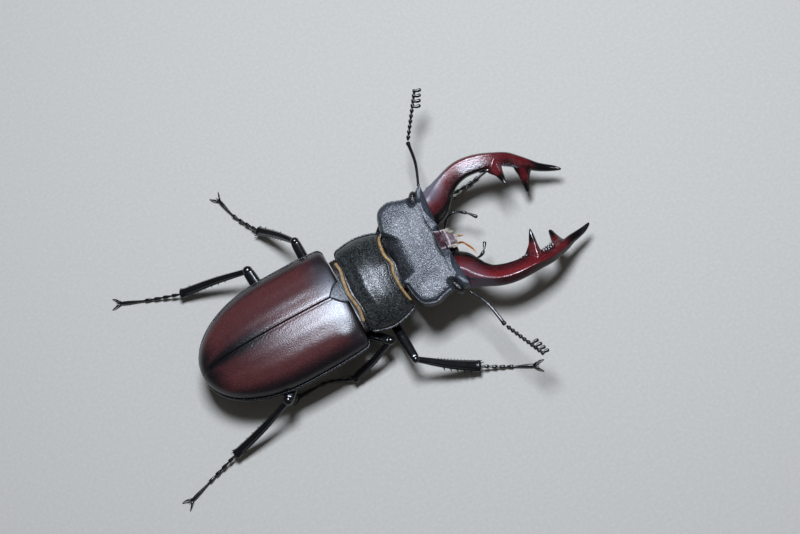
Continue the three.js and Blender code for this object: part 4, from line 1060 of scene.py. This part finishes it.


# Tone: red on top, black along the inner edge and at all the points, and painted shade by the way the surface
# faces: black on the inner wall, dark underneath, maroon on the outer face.
# q is a point's distance to the outer side of the shaft's middle line, in half widths.
def jawTone(co, normal, reach):
    centres, ahead = followRoute(np.array([jaw["start"]] + jaw["route"]) + reach, 240)
    nearest = np.argmin(((co[:, None, :2] - centres[None, :, :2]) ** 2).sum(axis=2), axis=1)
    across = unit(np.cross([0, 0, 1.0], ahead))[nearest]
    q = ((co - centres[nearest]) * across).sum(axis=1) / jawHalf(nearest / 239)
    outward = (normal * across).sum(axis=1)
    x = co[:, 0] - reach[0]
    onTooth = np.maximum(bell(x, 23.9, 1.5), bell(x, 28.1, 1.0))
    near = lambda p, full, none: 1 - smooth(np.linalg.norm(co - (np.array(p) + reach), axis=1), full, none)
    shaft = smooth(x, 12, 17)
    # The terms read from the normals are painted shade: inner wall black, underside dark, outer face maroon.
    dark = most(
        near(jaw["greatTooth"][-1], 1.7, 3.2), near(jaw["forkTooth"][-1], 1.5, 3.0), smooth(x, 29.3, 31.2),
        smooth(-q, blendOf(0.34, 0.56, shaft), blendOf(0.6, 0.84, shaft)) * (1 - onTooth),
        smooth(-outward, 0.5, 0.9) * (1 - 0.6 * onTooth), 0.8 * smooth(-normal[:, 2], -0.1, 0.7),
        0.62 * smooth(outward, 0.45, 0.85), 0.5 * smooth(-q, -0.1, 0.5) * (1 - onTooth))
    return (0.95 - 0.2 * smooth(x, 21, 26)) * (1 - dark)


def readBack(mesh, key):
    values = np.zeros(len(mesh.vertices) * 3, np.float32)
    mesh.vertices.foreach_get(key, values)
    return values.reshape(-1, 3).astype(float)


# The parts of a jaw are grown into one skin and relaxed, toned in the straight pose of the left jaw, then
# mirrored for the right, swung about the hinge and set in the head.
def makeJaw(side):
    reach = np.array([jaw["reach"][side], 0, 0])
    surface = together(jawParts(reach, jaw["topFace"][side]))
    solid = bpy.data.objects.new("jawBlank", makeMesh("jawBlank", *surface))
    bpy.context.scene.collection.objects.link(solid)
    remesh = solid.modifiers.new("skin", "REMESH")
    remesh.mode, remesh.voxel_size, remesh.use_smooth_shade = "VOXEL", jaw["voxel"], True
    relax = solid.modifiers.new("relax", "SMOOTH")
    relax.factor, relax.iterations = 0.5, jaw["smoothing"]
    mesh = bpy.data.meshes.new_from_object(solid.evaluated_get(bpy.context.evaluated_depsgraph_get()))
    bpy.data.objects.remove(solid)
    co = readBack(mesh, "co")
    setValues(mesh, "tone", jawTone(co, readBack(mesh, "normal"), reach))
    # Painted sheen and wear: a grey over the foot's outer part, partly its own grain and partly a painted
    # sheen, stronger on the left jaw, and the worn tips of the denticles.
    tips = [denticle(i, reach)[1] for i in range(jaw["denticles"])]
    worn = [1 - smooth(np.linalg.norm(co - tip, axis=1), 0.15, 0.3) for tip in tips]
    foot = (1 - smooth(co[:, 0] - 0.6 * (co[:, 1] - 8), 11.2, 14.0)) * smooth(co[:, 1], 5.6, 8.2)
    setValues(mesh, "bloom", most(foot, *worn) * jaw["bloom"][side])
    mirror = np.array([1, 1 if side == "left" else -1, 1])
    pivot = mirror * jaw["pivot"]
    swung = turned(co * mirror - pivot, jaw["turn"]) + pivot + [0, jaw["shift"], 0]
    mesh.vertices.foreach_set("co", toMetres(inHeadFrame(swung)).astype(np.float32).ravel())
    if side == "right":
        mesh.flip_normals()
    mesh.materials.clear()
    mesh.update()
    mesh.shade_smooth()
    placePiece("jaw" + side.title(), mesh, jawHorn, ["mandible_" + side])
    print("jaw", side, len(mesh.polygons), "faces")


for side in bothSides:
    makeJaw(side)


# Each feeler's root, bend, elbow and tip.
feelers = {
    "left": [[10.0, 11.6, 9.2], [11.45, 16.4, 8.6], [11.95, 21.3, 7.5], [17.6, 29.6, 9.0]],
    "right": [[9.6, -11.4, 9.2], [11.4, -15.0, 9.3], [12.5, -20.1, 9.0], [16.2, -28.7, 10.4]],
}
feeler = {
    "thin": 0.24, "thick": 0.34, "beads": 6, "beadThick": 0.4, "clubFrom": 0.62,
    "leaves": 4, "leafLong": 1.55, "leavesFrom": 0.66, "leavesTo": 0.97,
}


# Stem: thickens from its root to a knob at the elbow. Club: a string of beads, the last of which carry
# leaves on their front side. A leaf is a flat paddle, thin at the root and blunt at the tip.
def makeFeeler(side):
    root, bend, elbow, tip = (np.array(p) for p in feelers[side])
    def girth(t):
        knobs = 0.1 * bell(t, 0.97, 0.05) + 0.06 * bell(t, 0.02, 0.02)
        return (blendOf(feeler["thin"], feeler["thick"], t) + knobs) * roundEnds(t, 0.015, 0.03)
    stem = sweep([root, bend, elbow], girth, girth, 24, 120)
    addPiece("feelerStem" + side.title(), onHead(stem), legHorn, [f"antenna_{side}_scape"])
    ahead = unit(tip - elbow)
    start = elbow + 0.25 * ahead
    clubRoot = blendOf(start, tip, feeler["clubFrom"])
    forward = unit(np.array([1.0, 0, 0]) - ahead[0] * ahead)
    parts = [beadString([start, clubRoot], feeler["beads"], 0.17, feeler["beadThick"], 20),
             beadString([clubRoot, tip], feeler["leaves"], 0.2, feeler["beadThick"], 20)]
    wide = lambda t: (0.2 + 0.14 * smooth(t, 0, 0.7)) * roundEnds(t, 0.03, 0.2)
    tall = lambda t: (0.42 - 0.12 * t) * roundEnds(t, 0.03, 0.25)
    for i in range(feeler["leaves"]):
        place = blendOf(feeler["leavesFrom"], feeler["leavesTo"], i / (feeler["leaves"] - 1))
        leafRoot = blendOf(start, tip, place)
        leafTip = leafRoot + forward * (feeler["leafLong"] - 0.12 * i) + ahead * 0.45
        bow = blendOf(leafRoot, leafTip, 0.5) - ahead * 0.12
        parts.append(sweep([leafRoot, bow, leafTip], wide, tall, 20, 28))
    addPiece("feelerClub" + side.title(), onHead(together(parts)), legHorn, [f"antenna_{side}_club"])


for side in bothSides:
    makeFeeler(side)
print("jaws and feelers made")


# For each leg its hip, knee and ankle, then the middle and the tip of its foot on the ground.
legs = {
    "fore_left": [[5.2, 3.4, 3.3], [14.6, 12.4, 4.9], [26.3, 10.2, 1.5], [31, 10.9], [36, 12.2]],
    "fore_right": [[5.2, -3.4, 3.3], [5.7, -16.5, 6], [15.3, -22.1, 1.5], [19.5, -24.3], [24, -26.6]],
    "mid_left": [[-3.6, 3.4, 3], [-3.5, 14.9, 7], [-8.8, 22.9, 1.4], [-11.6, 28.4], [-12.8, 32.9]],
    "mid_right": [[-3.6, -3.4, 3], [3.3, -10.9, 5.6], [-6, -12.5, 1.4], [-10.4, -10.2], [-16.2, -9.9]],
    "hind_left": [[-12.8, 3.2, 3], [-13.8, 14.7, 6.1], [-27.2, 19.2, 1.5], [-33, 21.7], [-38.3, 24.1]],
    "hind_right": [[-10.8, -3.2, 3], [-18.1, -11.8, 6.6], [-31.6, -14.2, 1.5], [-37, -15.6], [-42.5, -17.4]],
}
legKinds = {
    "fore": {"girth": 0.85, "flare": 0.5, "spines": 5, "spineLength": 1.2},
    "mid": {"girth": 0.95, "flare": 0.25, "spines": 3, "spineLength": 0.75},
    "hind": {"girth": 1.12, "flare": 0.3, "spines": 2, "spineLength": 0.6},
}
foot = {"radius": 0.36, "thin": 0.17, "joints": 5, "claw": 0.19, "shortShare": 0.6, "tuftHairs": 14,
        "hairWidth": 0.028}


# Thigh: an oval shaft that swells in the middle, with four faint flats, a ball at the hip and one at the
# knee.
def makeThigh(name, girth, hip, knee):
    size = lambda t: girth * (0.8 + 0.3 * np.sin(np.pi * (0.1 + 0.75 * t))) * roundEnds(t, 0.02, 0.06)
    route = [hip, (hip + knee) / 2, knee + 0.2 * unit(knee - hip)]
    flats = lambda t, a: 1 - 0.05 * np.cos(4 * a + 0.6)
    shaft = sweep(route, size, lambda t: 0.85 * size(t), 48, 90, flats)
    hipBall = ball(hip, [1.35, 1.62, 1.15], 48, 32)
    kneeBall = ball(knee, girth * np.array([0.86, 0.86, 0.8]), 40, 28)
    addPiece(name + "Thigh", together([shaft, hipBall, kneeBall]), legHorn, [name + "_femur"])


# Shin: bent at its head, then wider to a rimmed ankle, with six long ridges and rows of curved spines.
def makeShin(name, kind, hip, knee, ankle):
    ahead = unit(ankle - knee)
    side = unit(np.cross([0, 0, 1.0], ahead))
    side = side * (np.sign(np.dot(side, knee - hip)) or 1.0)
    ends = lambda t: roundEnds(t, 0.05, 0.015)
    wide = lambda t: (0.54 + (kind["flare"] + 0.06) * t + 0.1 * bell(t, 0.97, 0.03)) * ends(t)
    tall = lambda t: (0.5 + 0.16 * t + 0.08 * bell(t, 0.97, 0.03)) * ends(t)
    ridges = lambda t, a: 1 + 0.06 * np.cos(6 * a) * smooth(t, 0.1, 0.25) * (1 - smooth(t, 0.88, 0.95))
    route = [knee, (knee + ankle) / 2 + 0.25 * side, ankle + 0.1 * ahead]
    parts = [sweep(route, wide, tall, 48, 120, ridges)]
    # Each thorn: its place along the shin, how far it stands out and leans on, and its thickness.
    thorns = []
    for place in np.linspace(0.42, 0.84, kind["spines"]):
        thorns.append((place, 0.36 + kind["flare"] * place + 0.7 * kind["spineLength"], 0.5, 0.26))
    for place in np.linspace(0.3, 0.9, 2 * kind["spines"] + 3):
        thorns.append((place, 0.5 + kind["flare"] * place, 0.25, 0.1))
        thorns.append((place + 0.03, -(0.5 + kind["flare"] * place), 0.3, 0.08))
    thorns += [(0.93, -1.1, 1.15, 0.2), (0.95, -0.75, 1.3, 0.16), (0.95, 0.75 + kind["flare"], 0.8, 0.26)]
    for place, out, onward, thick in thorns:
        root = blendOf(knee, ankle, place) + 0.15 * side * np.sign(out)
        tip = root + side * out + ahead * onward
        parts.append(spine([root, blendOf(root, tip, 0.55) - 0.12 * ahead, tip], thick, 0.9, 16, 20))
    addPiece(name + "Shin", together(parts), legHorn, [name + "_tibia"])


# Foot: four short cup-shaped joints and a long one, then two hooked claws with a bristle between them.
def makeFoot(name, knee, ankle, middle, end, rng):
    start = ankle + 0.1 * unit(ankle - knee)
    tip = np.array([*end, foot["radius"] - 0.08])
    route = [start, [*middle, foot["radius"] + 0.12], tip]
    short, share = foot["joints"] - 1, foot["shortShare"]
    def size(t):
        s = np.where(t < share, t / share * short, short + (t - share) / (1 - share))
        s = np.minimum(s, short + 1 - 1e-6) % 1.0
        cup = smooth(s, 0, 0.8) * ovalOf(part(s, 0.86, 1))
        return blendOf(foot["thin"], foot["radius"], cup) * roundEnds(t, 0.01, 0.012)
    parts = [sweep(route, size, size, 24, 260)]
    ahead = unit(np.array([*(end - middle), 0.0]))
    side = np.cross([0, 0, 1.0], ahead)
    for hand in (1, -1):
        hook = [(-0.3, 0.05, tip[2]), (0.35, 0.42, 0.62), (1.0, 0.82, 0.5), (1.7, 1.1, 0.13)]
        hook = [[*(tip + ahead * onward + side * out * hand)[:2], z] for onward, out, z in hook]
        parts.append(spine(hook, foot["claw"], 1.0, 18, 30, 0.7, 0.035))
    parts.append(spine([tip, tip + ahead * 0.9 + [0, 0, 0.1]], 0.07, 1.0, 10, 10))
    points, quads, fans = together(parts)
    points[:, 2] = np.maximum(points[:, 2], 0.0)
    addPiece(name + "Foot", (points, quads, fans), legHorn, [name + "_tarsus"])
    # Tufts of short brown bristles under the front end of each joint.
    points, along = followRoute(route, 401)
    places = np.repeat(share * (np.arange(short) + 0.85) / short, foot["tuftHairs"])
    places = places + rng.uniform(-0.02, 0.01, len(places))
    at = np.clip((places * 400).astype(int), 0, 400)
    spread = rng.uniform(-1, 1, (len(at), 1))
    across = unit(np.cross([0, 0, 1.0], along[at]))
    roots = points[at] + across * 0.24 * spread
    ways = unit(along[at] * 0.8 + across * 0.6 * spread + np.array([0, 0, -0.35]) * (roots[:, 2:] > 0.6))
    growBristles(name + "Sole", roots, ways, rng.uniform(0.35, 0.55, len(at)), np.zeros((len(at), 3)),
                 np.stack([0.1 + 0.8 * places, 0.5 + 0.3 * spread[:, 0]], axis=1), brownBristle,
                 foot["hairWidth"])


footRandom = np.random.default_rng(5)
for name, leg in legs.items():
    kind = legKinds[name.split("_")[0]]
    hip, knee, ankle, middle, end = (np.array(p, float) for p in leg)
    makeThigh(name, kind["girth"], hip, knee)
    makeShin(name, kind, hip, knee, ankle)
    makeFoot(name, knee, ankle, middle, end, footRandom)
print("legs made,", len(pieces), "pieces in all")

studio = {
    "floorHalf": 1.2, "floorDrop": 2e-5, "floorColours": [(0.3, "#b3aea3"), (0.7, "#b9b4ac")],
    "worldColour": "#eef1f4", "worldStrength": 0.08, "aim": [0, 0, 0.01],
    "skyPanel": {"size": (0.13, 0.11), "watts": 2.1, "place": [0.072, 0.075, 0.36], "colour": "#e4eeff"},
    "sidePanel": {"size": (0.12, 0.12), "watts": 0.04, "place": [0.25, -0.22, 0.22], "colour": "#ffffff"},
}


# Floor: pale uncoated card, matt. Its fibres are drawn at 0.6 mm, some ten times as coarse as they are.
def makeFloor():
    corners = np.array([[-1, -1, 0], [1, -1, 0], [1, 1, 0], [-1, 1, 0]]) * studio["floorHalf"]
    corners = corners - [0, 0, studio["floorDrop"]]
    mesh = makeMesh("floor", corners, np.array([[0, 1, 2, 3]]), np.zeros((0, 3), int))
    def dress(tree):
        place = addNode(tree, "TexCoord", {}, {}, "Object")
        fibre = addNode(tree, "TexNoise", {"Scale": perMetre(0.6), "Detail": 4.0}, {"Vector": place})
        colour = addNode(tree, "ValToRGB", {"ramp": studio["floorColours"]}, {"Fac": fibre})
        return {"Roughness": 0.8}, {"Base Color": colour}
    mesh.materials.append(newMaterial("paleCard", dress))
    floor = bpy.data.objects.new("floor", mesh)
    bpy.context.scene.collection.objects.link(floor)


# Sets a lamp or a camera at its place, with its own axes along right, up and away from what it faces.
def standAt(name, data, right, up, away, place):
    thing = bpy.data.objects.new(name, data)
    bpy.context.scene.collection.objects.link(thing)
    thing.matrix_world = Matrix([[right[k], up[k], away[k], place[k]] for k in range(3)] + [[0, 0, 0, 1]])
    return thing


def addLight(name):
    look = studio[name]
    light = bpy.data.lights.new(name, "AREA")
    light.shape, (light.size, light.size_y) = "RECTANGLE", look["size"]
    light.energy, light.color = look["watts"], hexColour(look["colour"])[:3]
    away = unit(np.array(look["place"]) - studio["aim"])
    right = unit(np.cross([0, 1.0, 0.01], away))
    standAt(name, light, right, np.cross(away, right), away, look["place"])


makeFloor()
addLight("skyPanel")
addLight("sidePanel")
world = bpy.data.worlds.new("studio")
world.use_nodes = True
sky = world.node_tree.nodes["Background"].inputs
sky["Color"].default_value = hexColour(studio["worldColour"])
sky["Strength"].default_value = studio["worldStrength"]
bpy.context.scene.world = world
bpy.context.scene.view_settings.view_transform = "Standard"

# The camera stands abeam the right side and looks down at 68 degrees, with the head up to its right.
view = {
    "target": [11.271, -0.467, 8.811], "distance": 420.0, "elevation": 68.0, "roll": 29.0,
    "focalPixels": 2310.0, "imageWidth": 800, "sensor": 36.0,
}


def makeCamera():
    e, r = math.radians(view["elevation"]), math.radians(view["roll"])
    away = np.array([0, -math.cos(e), math.sin(e)])
    level = np.array([1.0, 0, 0])
    steep = np.array([0, math.sin(e), math.cos(e)])
    lens = bpy.data.cameras.new("camera")
    lens.sensor_width = view["sensor"]
    lens.lens = view["focalPixels"] * view["sensor"] / view["imageWidth"]
    lens.clip_start, lens.clip_end = 0.01, 10
    bpy.context.scene.camera = standAt(
        "camera", lens, math.cos(r) * level - math.sin(r) * steep, math.sin(r) * level + math.cos(r) * steep,
        away, toMetres(np.array(view["target"]) + view["distance"] * away))


makeCamera()
print("floor, light and camera made")
